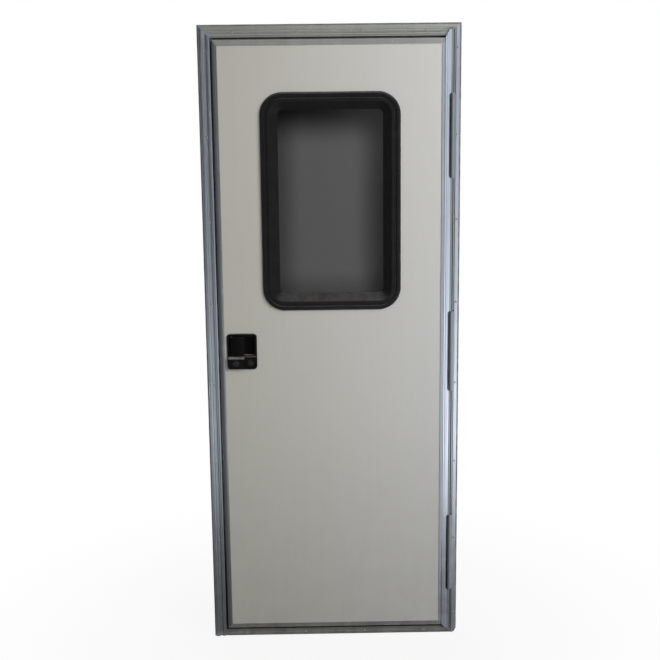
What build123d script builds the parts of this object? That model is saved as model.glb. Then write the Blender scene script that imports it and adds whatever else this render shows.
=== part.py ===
# Entry door of a caravan, closed in its aluminium jamb, in millimetres.
# X runs to the right seen from outside, Y runs into the vehicle and Z runs up.
# The wall's outer face is the plane y = 0. The origin lies on the back of the sill flange,
# on the door's centre line and half way up that flange.
import os

from build123d import *

# Jamb: overall size, and flange widths from the outer edge in towards the doorway
FRAME_WIDTH = 764.0
FRAME_HEIGHT = 1880.0
WIDE_FLANGE = 36.0
SILL_FLANGE = 21.0
HINGE_FLANGE = 19.0
FLANGE_THICKNESS = 2.0
WEB_THICKNESS = 2.0
WEB_TAIL = 8.0
STOP_THICKNESS = 2.0
STOP_COVER = 12.5

# Ridges along the flanges
RIDGE_RISE = 3.0
RIDGE_SLOPE = 1.6
RIDGE_ROUND = 0.8
WIDE_RIDGE_INSET = 3.0
SIGHT_LEDGE = 4.0
INNER_RIDGE = 7.0
SCREW_GROOVE = 8.0
SEALANT_INSET = 3.0
SEALANT_DEPTH = 2.6
SILL_RIDGE = 5.0
SILL_RIDGE_INSET = 2.0
HINGE_LEDGE = 2.0
CORNER_ROUND = 18.0

# Screw holes through the flanges
SCREW_HOLE = 5.0
SIDE_SCREWS = 8
SIDE_SCREW_END = 70.0
CROSS_SCREWS = 4
CROSS_SCREW_END = 102.0

# Leaf: gaps to the jamb, widths of its edge trim, and its layers from front to back
LEAF_GAP = 6.5
HINGE_GAP = 16.0
LATCH_LIP = 13.5
TOP_LIP = 17.5
BOTTOM_LIP = 12.5
HINGE_LIP = 21.0
SKIN_FRONT = -4.0
LIP_THICKNESS = 2.0
CHANNEL_WALL = 2.0
SKIN_THICKNESS = 2.0
CORE_THICKNESS = 30.0
SHEET_CLEARANCE = 0.3
LIP_ROUND = 1.2

# Weather seal between the leaf and the stop
SEAL_THICKNESS = 3.7
SEAL_WIDTH = 9.0
SEAL_INSET = 2.0
SEAL_CLEARANCE = 0.3
SEAL_ROUND = 2.5

# Interleaved hinge along the right edge
HINGE_AXIS_INSET = 25.0
HINGE_AXIS_DEPTH = -11.0
BARREL_RADIUS = 5.0
PIN_RADIUS = 2.5
PIN_CLEARANCE = 0.05
PIN_OVERHANG = 1.0
KNUCKLE_END = 19.0
KNUCKLE_LENGTH = 244.0
KNUCKLE_LOWEST = 272.0
KNUCKLE_HIGHEST = 322.0
KNUCKLE_COUNT = 3
KNUCKLE_GAP = 1.5
NOTCH_CORNER = 5.0
BAND_WIDTH = 12.5
BAND_RISE = 6.5
BAND_BEVEL = 1.5
BAND_STEP = 1.5
BAND_STEP_WIDTH = 5.0
HEAD_RELIEF = 2.0

# Window: outer size, corner radius, distance below the jamb's upper edge, and its outer ring's section
WINDOW_WIDTH = 412.0
WINDOW_HEIGHT = 643.0
WINDOW_RADIUS = 66.0
WINDOW_FROM_TOP = 191.5
RING_WIDTH = 51.0
RING_RISE = 11.0
RING_EDGE = 3.5
RING_SHOULDER = 5.0
RING_CREST = 7.0
RING_GROOVE = 4.0
RING_GROOVE_DEPTH = 2.5
RING_GROOVE_SLOPE = 1.5
RING_BEAD = 8.0
RING_BEAD_SETBACK = 1.0
RING_LIP = 2.0
RING_LAND = 7.0
RING_WALL = 6.0
RING_ROUND = 1.5
LIP_DEPTH = 12.0
CUTOUT_INSET = 21.0
COLLAR_CLEARANCE = 1.0
COLLAR_WALL = 2.5
COLLAR_DEPTH = 22.0
GASKET_THICKNESS = 2.0
GASKET_CLEARANCE = 0.5
GLASS_THICKNESS = 4.0
GLASS_EDGE_CLEARANCE = 1.0
INNER_RING_INSET = 3.0
INNER_RING_WIDTH = 44.0
INNER_RING_RISE = 5.0
INNER_RING_ROUND = 2.0

# Latch: place of its lower left corner from the jamb's lower left corner, and its plate
LATCH_FROM_LEFT = 63.0
LATCH_FROM_BOTTOM = 866.0
LATCH_WIDTH = 90.0
LATCH_HEIGHT = 110.0
LATCH_RADIUS = 11.0
PLATE_THICKNESS = 5.0
PLATE_ROUND = 2.5
BODY_INSET = 4.5
BODY_DEPTH = 18.0
POCKET_CLEARANCE = 1.0
TRAY_INSET = 7.0
TRAY_TOP_INSET = 8.5
TRAY_FLOOR = 2.0
LOCK_BAND = 43.5
BLOCK_INSET = 3.0
BLOCK_SPLIT = 52.0
BLOCK_SPLIT_GAP = 2.0
BLOCK_TOP = 40.0
BLOCK_CHIN = 1.5
KEY_BLOCK_RISE = 8.0
KEY_BLOCK_SLOPE = 7.0
BOLT_BLOCK_RISE = 4.0
BOLT_BLOCK_SLOPE = 1.0

# Pull paddle and its pin, from the latch plate's left edge and front
PADDLE_PIVOT = 13.0
PADDLE_PIVOT_SETBACK = 4.0
PADDLE_BARREL_RADIUS = 4.5
PADDLE_PIN_RADIUS = 2.0
PADDLE_PIN_SEAT = 3.0
PADDLE_RISE = 9.0
PADDLE_THICKNESS = 3.5
PADDLE_END_CLEARANCE = 1.5
PADDLE_GRIP = 8.0
PADDLE_BOW = 1.5
PADDLE_EDGE = 1.0
PADDLE_HEEL = 3.0
PADDLE_HEEL_DROP = 4.0
PADDLE_ROOT = 3.5
PADDLE_ROOT_DROP = 3.0

# Lock cylinders, bolts and plates on the leaf's edge and in the jamb
KEY_X = 26.0
BOLT_KEY_X = 71.0
KEY_Z = 20.0
CYLINDER_RADIUS = 9.0
CYLINDER_COLLAR = 11.0
CYLINDER_COLLAR_RISE = 2.5
CYLINDER_CLEARANCE = 0.2
KEYWAY_LENGTH = 9.0
KEYWAY_WIDTH = 1.8
KEYWAY_DEPTH = 1.5
EDGE_PLATE_HEIGHT = 130.0
EDGE_PLATE_WIDTH = 22.0
EDGE_PLATE_FRONT = 2.0
PLATE_FIT = 0.2
BOLT_WIDTH = 12.0
BOLT_HEIGHT = 16.0
BOLT_Z = 70.0
BOLT_LENGTH = 20.0
BOLT_PROUD = 0.5
BOLT_FIT = 0.3
DEADBOLT_RADIUS = 6.0
STRIKE_CLEARANCE = 1.0

# Latch furniture on the inside
INNER_PLATE_THICKNESS = 4.0
LEVER_X = 10.0
LEVER_LENGTH = 52.0
LEVER_POST = 12.0
LEVER_GAP = 12.0
LEVER_THICKNESS = 4.5
LEVER_LOW = 48.0
LEVER_HEIGHT = 48.0
KNOB_RADIUS = 13.0
KNOB_BASE = 6.0
KNOB_GRIP = 11.0
KNOB_GRIP_WIDTH = 8.0
SOFT_EDGE = 1.5

# Places that follow from the sizes above
LEFT = -FRAME_WIDTH / 2
RIGHT = FRAME_WIDTH / 2
BOTTOM = -SILL_FLANGE / 2
TOP = BOTTOM + FRAME_HEIGHT
LEAF_FRONT = SKIN_FRONT - LIP_THICKNESS
CORE_FRONT = SKIN_FRONT + SKIN_THICKNESS
CORE_BACK = CORE_FRONT + CORE_THICKNESS
SKIN_BACK = CORE_BACK + SKIN_THICKNESS
LEAF_BACK = SKIN_BACK + LIP_THICKNESS
STOP_FRONT = LEAF_BACK + SEAL_CLEARANCE + SEAL_THICKNESS
WEB_BACK = STOP_FRONT + STOP_THICKNESS + WEB_TAIL
LATCH_EDGE = WIDE_FLANGE + LEAF_GAP
SILL_EDGE = SILL_FLANGE + LEAF_GAP
HINGE_EDGE = HINGE_FLANGE + HINGE_GAP
SILL_STOP_END = BOTTOM + SILL_EDGE + STOP_COVER
HEAD_STOP_END = TOP - LATCH_EDGE - STOP_COVER
LEAF_LEFT = LEFT + LATCH_EDGE
LEAF_RIGHT = RIGHT - HINGE_EDGE
LEAF_LOW = BOTTOM + SILL_EDGE
LEAF_HIGH = TOP - LATCH_EDGE
SIGHT_LEFT = LEAF_LEFT + LATCH_LIP
SIGHT_RIGHT = LEAF_RIGHT - HINGE_LIP
SIGHT_LOW = LEAF_LOW + BOTTOM_LIP
SIGHT_HIGH = LEAF_HIGH - TOP_LIP
INNER_RIDGE_END = WIDE_FLANGE - SIGHT_LEDGE
INNER_RIDGE_START = INNER_RIDGE_END - INNER_RIDGE
OUTER_RIDGE_END = INNER_RIDGE_START - SCREW_GROOVE
WIDE_SCREW_INSET = INNER_RIDGE_START - SCREW_GROOVE / 2
HINGE_RIDGE_END = HINGE_FLANGE - HINGE_LEDGE
HINGE_SCREW_INSET = (WIDE_RIDGE_INSET + HINGE_RIDGE_END) / 2
HINGE_X = RIGHT - HINGE_AXIS_INSET
KNUCKLE_LOW = BOTTOM + KNUCKLE_END
KNUCKLE_HIGH = TOP - KNUCKLE_END
PIN_BORE = PIN_RADIUS + PIN_CLEARANCE
BARREL_MIDDLE = (PIN_BORE + BARREL_RADIUS) / 2
WINDOW_Z = TOP - WINDOW_FROM_TOP - WINDOW_HEIGHT / 2
RING_FRONT = SKIN_FRONT - RING_RISE
LIP_BACK = SKIN_FRONT + LIP_DEPTH
LIP_START = RING_WIDTH - RING_LAND
GLASS_FRONT = LIP_BACK + GASKET_THICKNESS
GLASS_BACK = GLASS_FRONT + GLASS_THICKNESS
COLLAR_OUTSIDE = CUTOUT_INSET + COLLAR_CLEARANCE
COLLAR_INSIDE = COLLAR_OUTSIDE + COLLAR_WALL
LATCH_X0 = LEFT + LATCH_FROM_LEFT
LATCH_Z0 = BOTTOM + LATCH_FROM_BOTTOM
LATCH_X = LATCH_X0 + LATCH_WIDTH / 2
LATCH_Z = LATCH_Z0 + LATCH_HEIGHT / 2
PLATE_FRONT = SKIN_FRONT - PLATE_THICKNESS
BODY_BACK = SKIN_FRONT + BODY_DEPTH
KEY_BLOCK_FRONT = PLATE_FRONT - KEY_BLOCK_RISE
BOLT_BLOCK_FRONT = PLATE_FRONT - BOLT_BLOCK_RISE
EDGE_PLATE_Y = EDGE_PLATE_FRONT + EDGE_PLATE_WIDTH / 2
DEADBOLT_Z = LATCH_Z0 + KEY_Z
LATCH_BOLT_Z = LATCH_Z0 + BOLT_Z
TINY = 0.001
FAR = 100.0

# Each side's section is drawn as distance from the outer edge against depth, on these planes
LATCH_SIDE = Plane((LEFT, 0, 0), x_dir=(1, 0, 0), z_dir=(0, 0, 1))
HINGE_SIDE = Plane((RIGHT, 0, 0), x_dir=(-1, 0, 0), z_dir=(0, 0, -1))
HEAD_SIDE = Plane((0, 0, TOP), x_dir=(0, 0, -1), z_dir=(1, 0, 0))
SILL_SIDE = Plane((0, 0, BOTTOM), x_dir=(0, 0, 1), z_dir=(-1, 0, 0))
UP = Vector(0, 0, 1)
ACROSS = Vector(1, 0, 0)
INWARD = Vector(0, 1, 0)


def outline(points):
    """Face inside a closed run of straight lines."""
    return make_face(Polyline(*points, close=True))


def rounded_at(section, level, radius):
    """Section with the corners at one depth rounded off."""
    corners = section.vertices().filter_by(lambda corner: abs(corner.Y - level) < TINY)
    return fillet(corners, radius)


def upright(section, side, low, high):
    """Bar of constant section that runs up one side of the door."""
    return Pos(0, 0, low) * extrude(side * section, amount=high - low, dir=UP)


def crossbar(section, side, low, high):
    """Bar of constant section that runs across the head or the sill."""
    return Pos(low, 0, 0) * extrude(side * section, amount=high - low, dir=ACROSS)


def block(x, y, z):
    """Box between two limits along each axis."""
    size = (x[1] - x[0], y[1] - y[0], z[1] - z[0])
    return Pos(x[0], y[0], z[0]) * Box(*size, align=(Align.MIN, Align.MIN, Align.MIN))


def cut_prism(points):
    """Prism right through the door's depth, from an outline seen from outside."""
    return extrude(Plane.XZ * outline(points), amount=FAR, both=True)


def rounded_plate(centre, width, height, radius, front, back):
    """Flat plate with round corners, facing out of the door."""
    plate = extrude(Plane.XZ * RectangleRounded(width, height, radius), amount=back - front, dir=INWARD)
    return Pos(centre[0], front, centre[1]) * plate


def rod(x, z, radius, front, back):
    """Round rod that runs along the depth."""
    return Pos(x, front, z) * extrude(Plane.XZ * Circle(radius), amount=back - front, dir=INWARD)


def softened(solid, axis, index, radius):
    """Solid with the edges of its first or last face along an axis rounded off."""
    return fillet(solid.edges().group_by(axis)[index], radius)


def evenly(first, last, count):
    """Places spaced evenly from the first to the last."""
    return [first + (last - first) * n / (count - 1) for n in range(count)]


# Jamb extrusions
def ridge_points(ranges):
    """Front of a flange, from its outer edge, with a flat-topped ridge over each range."""
    crest = -FLANGE_THICKNESS - RIDGE_RISE
    points = [(0, 0), (0, -FLANGE_THICKNESS)]
    for start, end in ranges:
        points += [(start, -FLANGE_THICKNESS), (start + RIDGE_SLOPE, crest)]
        points += [(end - RIDGE_SLOPE, crest), (end, -FLANGE_THICKNESS)]
    return points


def jamb_section(front, flange, reach, back):
    """Flange, web and door stop of one jamb extrusion."""
    stop_back = STOP_FRONT + STOP_THICKNESS
    points = front + [(flange, -FLANGE_THICKNESS), (flange, STOP_FRONT), (reach, STOP_FRONT)]
    points += [(reach, stop_back), (flange, stop_back), (flange, WEB_BACK)]
    points += [(flange - WEB_THICKNESS, WEB_BACK), (flange - WEB_THICKNESS, 0)]
    return outline(points + back)


def wide_section():
    """Section of the latch side and the head, with a sealant groove behind its outer ridge."""
    front = ridge_points([(WIDE_RIDGE_INSET, OUTER_RIDGE_END), (INNER_RIDGE_START, INNER_RIDGE_END)])
    groove = (WIDE_RIDGE_INSET + SEALANT_INSET, OUTER_RIDGE_END - SEALANT_INSET)
    back = [(groove[1], 0), (groove[1], -SEALANT_DEPTH), (groove[0], -SEALANT_DEPTH), (groove[0], 0)]
    section = jamb_section(front, WIDE_FLANGE, LATCH_EDGE + STOP_COVER, back)
    return rounded_at(section, -FLANGE_THICKNESS - RIDGE_RISE, RIDGE_ROUND)


def sill_section():
    """Section of the sill, with a ridge along each edge of its flange."""
    inner = SILL_FLANGE - SILL_RIDGE_INSET
    outer = SILL_RIDGE_INSET
    front = ridge_points([(outer, outer + SILL_RIDGE), (inner - SILL_RIDGE, inner)])
    section = jamb_section(front, SILL_FLANGE, SILL_EDGE + STOP_COVER, [])
    return rounded_at(section, -FLANGE_THICKNESS - RIDGE_RISE, RIDGE_ROUND)


def hinge_jamb_section():
    """Section of the hinge side, with one broad solid ridge that carries the knuckles."""
    front = ridge_points([(WIDE_RIDGE_INSET, HINGE_RIDGE_END)])
    section = jamb_section(front, HINGE_FLANGE, HINGE_EDGE + STOP_COVER, [])
    return rounded_at(section, -FLANGE_THICKNESS - RIDGE_RISE, RIDGE_ROUND)


def screw_holes(places):
    """Clearance holes through a flange."""
    return [rod(x, z, SCREW_HOLE / 2, -FAR, FAR) for x, z in places]


def side_screw_heights():
    """Heights of the screws up both sides."""
    return evenly(BOTTOM + SIDE_SCREW_END, TOP - SIDE_SCREW_END, SIDE_SCREWS)


def cross_screw_places():
    """Places of the screws along the head and the sill."""
    return evenly(LEFT + CROSS_SCREW_END, RIGHT - CROSS_SCREW_END, CROSS_SCREWS)


def latch_jamb():
    """Latch-side jamb, mitred to the head and square at the sill, cut out for the strike."""
    bar = upright(wide_section(), LATCH_SIDE, BOTTOM, TOP)
    head_end = [(LEFT, TOP), (LEFT + FAR, TOP - FAR), (LEFT + FAR, TOP + FAR), (LEFT, TOP + FAR)]
    strike = edge_strip((LEFT, LEFT + LATCH_EDGE), PLATE_FIT)
    stop_x = (LEFT + WIDE_FLANGE, LEFT + FAR)
    sill_end = block(stop_x, (0, FAR), (BOTTOM, SILL_STOP_END))
    x = LEFT + WIDE_SCREW_INSET
    holes = screw_holes([(x, z) for z in side_screw_heights()])
    return bar - cut_prism(head_end) - sill_end - strike - holes


def strike_heights(extra):
    """Lower and upper end of the strike plate and of the edge plate that faces it."""
    reach = EDGE_PLATE_HEIGHT / 2 + extra
    return (LATCH_Z - reach, LATCH_Z + reach)


def head_jamb():
    """Head of the jamb, mitred at the latch side and fitted round the hinge-side jamb."""
    bar = crossbar(wide_section(), HEAD_SIDE, LEFT, RIGHT)
    latch_end = [(LEFT, TOP), (LEFT + FAR, TOP - FAR), (LEFT - FAR, TOP - FAR), (LEFT - FAR, TOP)]
    web = RIGHT - HINGE_FLANGE
    turn = TOP - HINGE_FLANGE
    hinge_end = [(RIGHT, TOP), (web, turn), (web, TOP - FAR), (RIGHT + FAR, TOP - FAR), (RIGHT + FAR, TOP)]
    relief_left = RIGHT - HINGE_EDGE - HINGE_LIP - HEAD_RELIEF
    relief = block((relief_left, RIGHT), (-FAR, -FLANGE_THICKNESS), (TOP - FAR, TOP - OUTER_RIDGE_END))
    z = TOP - WIDE_SCREW_INSET
    holes = screw_holes([(x, z) for x in cross_screw_places()])
    return bar - cut_prism(latch_end) - cut_prism(hinge_end) - relief - holes


def sill_jamb():
    """Sill of the jamb, square between the two side jambs."""
    bar = crossbar(sill_section(), SILL_SIDE, LEFT + WIDE_FLANGE, RIGHT - HINGE_FLANGE)
    return bar - screw_holes([(x, 0) for x in cross_screw_places()])


def knuckle_section(points):
    """Section of a knuckle: the piece that carries it, with the barrel and its bore."""
    axis = Pos(HINGE_AXIS_INSET, HINGE_AXIS_DEPTH)
    return outline(points) + axis * Circle(BARREL_RADIUS) - axis * Circle(PIN_BORE)


def hinge_foot_section():
    """Jamb knuckle: the barrel on a foot that slopes up from the flange's ridge."""
    root = HINGE_RIDGE_END - 2 * RIDGE_SLOPE
    points = [(root, -FLANGE_THICKNESS - RIDGE_RISE), (root, -FLANGE_THICKNESS)]
    points += [(HINGE_FLANGE, -FLANGE_THICKNESS), (HINGE_AXIS_INSET, HINGE_AXIS_DEPTH + BARREL_MIDDLE)]
    return knuckle_section(points + [(HINGE_AXIS_INSET - BARREL_MIDDLE, HINGE_AXIS_DEPTH)])


def knuckle_centres():
    """Heights of the middles of the jamb's knuckles."""
    return evenly(BOTTOM + KNUCKLE_LOWEST, TOP - KNUCKLE_HIGHEST, KNUCKLE_COUNT)


def lower_corner():
    """What is cut away to round the jamb's lower corner on the hinge side."""
    x = RIGHT - CORNER_ROUND
    z = BOTTOM + CORNER_ROUND
    return block((x, RIGHT), (-FAR, FAR), (BOTTOM, z)) - rod(x, z, CORNER_ROUND, -FAR, FAR)


def hinge_jamb():
    """Hinge-side jamb with its knuckles, mitred to the head and rounded off at its foot."""
    bar = upright(hinge_jamb_section(), HINGE_SIDE, BOTTOM, TOP)
    head_end = [(RIGHT, TOP), (RIGHT - FAR, TOP - FAR), (RIGHT - FAR, TOP + FAR), (RIGHT, TOP + FAR)]
    stop_x = (RIGHT - FAR, RIGHT - HINGE_FLANGE)
    bar -= block(stop_x, (0, FAR), (BOTTOM, SILL_STOP_END))
    bar -= block(stop_x, (0, FAR), (HEAD_STOP_END, TOP))
    x = RIGHT - HINGE_SCREW_INSET
    bar = bar - cut_prism(head_end) - lower_corner() - screw_holes([(x, z) for z in side_screw_heights()])
    for centre in knuckle_centres():
        reach = KNUCKLE_LENGTH / 2
        bar += upright(hinge_foot_section(), HINGE_SIDE, centre - reach, centre + reach)
    return bar


def hinge_pin():
    """Pin through all the knuckles."""
    low = KNUCKLE_LOW - PIN_OVERHANG
    length = KNUCKLE_HIGH + PIN_OVERHANG - low
    pin = Cylinder(PIN_RADIUS, length, align=(Align.CENTER, Align.CENTER, Align.MIN))
    pin = chamfer(pin.edges().filter_by(GeomType.CIRCLE), PIN_OVERHANG / 2)
    return Pos(HINGE_X, HINGE_AXIS_DEPTH, low) * pin


def weather_seal():
    """Ring of soft section on the stop, all round the leaf's back."""
    left = LEAF_LEFT + SEAL_INSET
    right = LEAF_RIGHT - SEAL_INSET
    low = LEAF_LOW + SEAL_INSET
    high = LEAF_HIGH - SEAL_INSET
    depth = (STOP_FRONT - SEAL_THICKNESS, STOP_FRONT)
    inner_x = (left + SEAL_WIDTH, right - SEAL_WIDTH)
    inner_z = (low + SEAL_WIDTH, high - SEAL_WIDTH)
    ring = block((left, right), depth, (low, high)) - block(inner_x, depth, inner_z)
    return softened(ring, Axis.Y, 0, SEAL_ROUND)


def bolt_openings(x, extra):
    """Openings for the latch bolt and the deadbolt, larger than them by a clearance."""
    wide = BOLT_WIDTH / 2 + extra
    tall = BOLT_HEIGHT / 2 + extra
    flat = block(x, (EDGE_PLATE_Y - wide, EDGE_PLATE_Y + wide), (LATCH_BOLT_Z - tall, LATCH_BOLT_Z + tall))
    bar = extrude(Plane.YZ * Circle(DEADBOLT_RADIUS + extra), amount=x[1] - x[0], dir=ACROSS)
    return [flat, Pos(x[0], EDGE_PLATE_Y, DEADBOLT_Z) * bar]


def edge_strip(x, fit):
    """Flat strip that faces across the latch gap."""
    depth = (EDGE_PLATE_FRONT - fit, EDGE_PLATE_FRONT + EDGE_PLATE_WIDTH + fit)
    return block(x, depth, strike_heights(fit))


def strike_plate():
    """Strike plate, flush in the latch-side web."""
    x = (LEFT + WIDE_FLANGE - WEB_THICKNESS, LEFT + WIDE_FLANGE)
    return edge_strip(x, 0) - bolt_openings(x, STRIKE_CLEARANCE)


# Leaf
def channel_section(edge, lip):
    """Channel along one edge of the leaf, with a lip over each skin."""
    inner = edge + lip
    wall = edge + CHANNEL_WALL
    points = [(inner, SKIN_FRONT), (inner, LEAF_FRONT), (edge, LEAF_FRONT), (edge, LEAF_BACK)]
    points += [(inner, LEAF_BACK), (inner, SKIN_BACK), (wall, SKIN_BACK), (wall, SKIN_FRONT)]
    return rounded_at(outline(points), LEAF_FRONT, LIP_ROUND)


def leaf_corners():
    """Corners of the leaf and of the panel between its trim, from the lower left, going round."""
    leaf = [(LEAF_LEFT, LEAF_LOW), (LEAF_RIGHT, LEAF_LOW), (LEAF_RIGHT, LEAF_HIGH), (LEAF_LEFT, LEAF_HIGH)]
    sight = [(SIGHT_LEFT, SIGHT_LOW), (SIGHT_RIGHT, SIGHT_LOW)]
    sight += [(SIGHT_RIGHT, SIGHT_HIGH), (SIGHT_LEFT, SIGHT_HIGH)]
    return leaf, sight


def mitre_prism(side):
    """Prism that mitres one edge of the leaf: 0 bottom, 1 hinge, 2 top, 3 latch."""
    leaf, sight = leaf_corners()
    following = (side + 1) % 4
    return cut_prism([leaf[side], leaf[following], sight[following], sight[side]])


def leaf_latch_stile():
    """Latch-side edge of the leaf, cut out for the edge plate."""
    bar = upright(channel_section(LATCH_EDGE, LATCH_LIP), LATCH_SIDE, LEAF_LOW, LEAF_HIGH)
    wall = (LEAF_LEFT - TINY, LEAF_LEFT + CHANNEL_WALL + TINY)
    return (bar & mitre_prism(3)) - edge_strip(wall, PLATE_FIT)


def leaf_top_rail():
    """Top edge of the leaf."""
    return crossbar(channel_section(LATCH_EDGE, TOP_LIP), HEAD_SIDE, LEAF_LEFT, LEAF_RIGHT) & mitre_prism(2)


def leaf_bottom_rail():
    """Bottom edge of the leaf."""
    return crossbar(channel_section(SILL_EDGE, BOTTOM_LIP), SILL_SIDE, LEAF_LEFT, LEAF_RIGHT) & mitre_prism(0)


def hinge_band_section():
    """Raised, stepped band of the hinge stile, which runs out into the barrel of a leaf knuckle."""
    front = LEAF_FRONT - BAND_RISE
    ledge = front + BAND_STEP
    inner = HINGE_EDGE + BAND_WIDTH
    step = inner - BAND_STEP_WIDTH
    arm_end = HINGE_AXIS_INSET + BARREL_MIDDLE
    points = [(inner, LEAF_FRONT), (inner - BAND_BEVEL, ledge), (step, ledge), (step - BAND_BEVEL, front)]
    return knuckle_section(points + [(arm_end, front), (arm_end, HINGE_AXIS_DEPTH), (HINGE_EDGE, LEAF_FRONT)])


def hinge_notch(centre):
    """Notch in the leaf's band round one jamb knuckle, with its inner corners cut off."""
    reach = KNUCKLE_LENGTH / 2 + KNUCKLE_GAP
    low = centre - reach
    high = centre + reach
    corner = LEAF_RIGHT + NOTCH_CORNER
    points = [(RIGHT, low), (corner, low), (LEAF_RIGHT, low + NOTCH_CORNER)]
    return cut_prism(points + [(LEAF_RIGHT, high - NOTCH_CORNER), (corner, high), (RIGHT, high)])


def leaf_hinge_stile():
    """Hinge-side edge of the leaf: a channel and a raised band, notched between its knuckles."""
    channel = upright(channel_section(HINGE_EDGE, HINGE_LIP), HINGE_SIDE, LEAF_LOW, LEAF_HIGH)
    channel &= mitre_prism(1)
    band = upright(hinge_band_section(), HINGE_SIDE, KNUCKLE_LOW, KNUCKLE_HIGH)
    for sight, end, outward in ((SIGHT_HIGH, KNUCKLE_HIGH, FAR), (SIGHT_LOW, KNUCKLE_LOW, -FAR)):
        corner = [(LEAF_RIGHT, end), (SIGHT_RIGHT, sight), (SIGHT_RIGHT, end + outward)]
        band -= cut_prism(corner + [(LEAF_RIGHT, end + outward)])
    for centre in knuckle_centres():
        band -= hinge_notch(centre)
    return channel + band


def panel_sheet(front, back):
    """Sheet that fills the leaf inside its edge channels, cut out for the window."""
    inset = CHANNEL_WALL + SHEET_CLEARANCE
    across = (LEAF_LEFT + inset, LEAF_RIGHT - inset)
    sheet = block(across, (front, back), (LEAF_LOW + inset, LEAF_HIGH - inset))
    return sheet - window_plate(CUTOUT_INSET, front, back)


def latch_pocket(front, back):
    """Room for the latch body behind its plate."""
    inset = 2 * (BODY_INSET - POCKET_CLEARANCE)
    size = (LATCH_WIDTH - inset, LATCH_HEIGHT - inset)
    return rounded_plate((LATCH_X, LATCH_Z), *size, LATCH_RADIUS - BODY_INSET + POCKET_CLEARANCE, front, back)


def outer_skin():
    """Smooth outer skin of the leaf."""
    return panel_sheet(SKIN_FRONT, CORE_FRONT) - latch_pocket(SKIN_FRONT, CORE_FRONT)


def inner_skin():
    """Inner skin of the leaf."""
    return panel_sheet(CORE_BACK, SKIN_BACK)


def foam_core():
    """Core between the skins, with a pocket for the latch and channels for its bolts."""
    core = panel_sheet(CORE_FRONT, CORE_BACK) - latch_pocket(CORE_FRONT, BODY_BACK + POCKET_CLEARANCE)
    return core - bolt_openings((LEAF_LEFT, LATCH_X0 + BODY_INSET), BOLT_FIT)


# Window
def window_plate(inset, front, back):
    """Plate with the window's outline, set in from its outer edge."""
    size = (WINDOW_WIDTH - 2 * inset, WINDOW_HEIGHT - 2 * inset)
    return rounded_plate((0, WINDOW_Z), *size, WINDOW_RADIUS - inset, front, back)


def window_ring(section):
    """Ring round the window, from a section drawn inwards from its outer edge."""
    face = Plane.XZ * RectangleRounded(WINDOW_WIDTH, WINDOW_HEIGHT, WINDOW_RADIUS)
    path = (Pos(0, 0, WINDOW_Z) * face).wire()
    straight = path.edges().filter_by(GeomType.LINE)[0]
    start = straight @ 0.5
    heading = straight % 0.5
    inward = heading.cross(INWARD)
    if inward.dot(Vector(0, 0, WINDOW_Z) - start) < 0:
        inward = -inward
    side = Plane(start, x_dir=inward, z_dir=inward.cross(INWARD))
    return sweep(side * section, path=path)


def window_outer_frame():
    """Moulded outer ring: crest, groove, bead and slope down to the glass, and a collar through the leaf."""
    crest_end = RING_SHOULDER + RING_CREST
    groove = crest_end + RING_GROOVE_SLOPE
    groove_end = groove + RING_GROOVE
    bead = groove_end + RING_GROOVE_SLOPE
    bead_end = bead + RING_BEAD
    floor = RING_FRONT + RING_GROOVE_DEPTH
    bead_front = RING_FRONT + RING_BEAD_SETBACK
    hollow = bead_front + RING_WALL
    collar_back = SKIN_FRONT + COLLAR_DEPTH
    points = [(0, SKIN_FRONT), (0, SKIN_FRONT - RING_EDGE), (RING_SHOULDER, RING_FRONT)]
    points += [(crest_end, RING_FRONT), (groove, floor), (groove_end, floor), (bead, bead_front)]
    points += [(bead_end, bead_front), (RING_WIDTH, LIP_BACK - RING_LIP), (RING_WIDTH, LIP_BACK)]
    points += [(LIP_START, LIP_BACK), (bead_end, hollow), (COLLAR_INSIDE, hollow)]
    points += [(COLLAR_INSIDE, collar_back), (COLLAR_OUTSIDE, collar_back), (COLLAR_OUTSIDE, SKIN_FRONT)]
    section = rounded_at(outline(points), RING_FRONT, RING_ROUND)
    return window_ring(rounded_at(section, bead_front, RING_ROUND))


def window_gasket():
    """Flat gasket between the ring's lip and the glass."""
    outer = LIP_START + GASKET_CLEARANCE
    inner = RING_WIDTH - GASKET_CLEARANCE
    return window_plate(outer, LIP_BACK, GLASS_FRONT) - window_plate(inner, LIP_BACK, GLASS_FRONT)


def window_glass():
    """Tinted pane."""
    return window_plate(COLLAR_INSIDE + GLASS_EDGE_CLEARANCE, GLASS_FRONT, GLASS_BACK)


def window_inner_frame():
    """Inner clamp ring, whose collar holds the glass against the gasket."""
    back = SKIN_BACK + INNER_RING_RISE
    outer = INNER_RING_INSET
    inner = INNER_RING_INSET + INNER_RING_WIDTH
    collar = COLLAR_INSIDE + COLLAR_CLEARANCE + GASKET_CLEARANCE
    points = [(outer, SKIN_BACK), (outer, back), (inner, back), (inner, SKIN_BACK)]
    points += [(collar + COLLAR_WALL, SKIN_BACK), (collar + COLLAR_WALL, GLASS_BACK)]
    points += [(collar, GLASS_BACK), (collar, SKIN_BACK)]
    return window_ring(rounded_at(outline(points), back, INNER_RING_ROUND))


# Latch
def lock_block(start, end, front, slope):
    """Raised block under the paddle, with a sloped top."""
    low = LATCH_Z0 + BLOCK_INSET
    high = LATCH_Z0 + BLOCK_TOP
    points = [(PLATE_FRONT, low), (front + BLOCK_CHIN, low), (front, low + BLOCK_CHIN), (front, high - slope)]
    face = Plane.YZ * outline(points + [(PLATE_FRONT, high)])
    return extrude(Pos(LATCH_X0 + start, 0, 0) * face, amount=end - start, dir=ACROSS)


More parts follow.
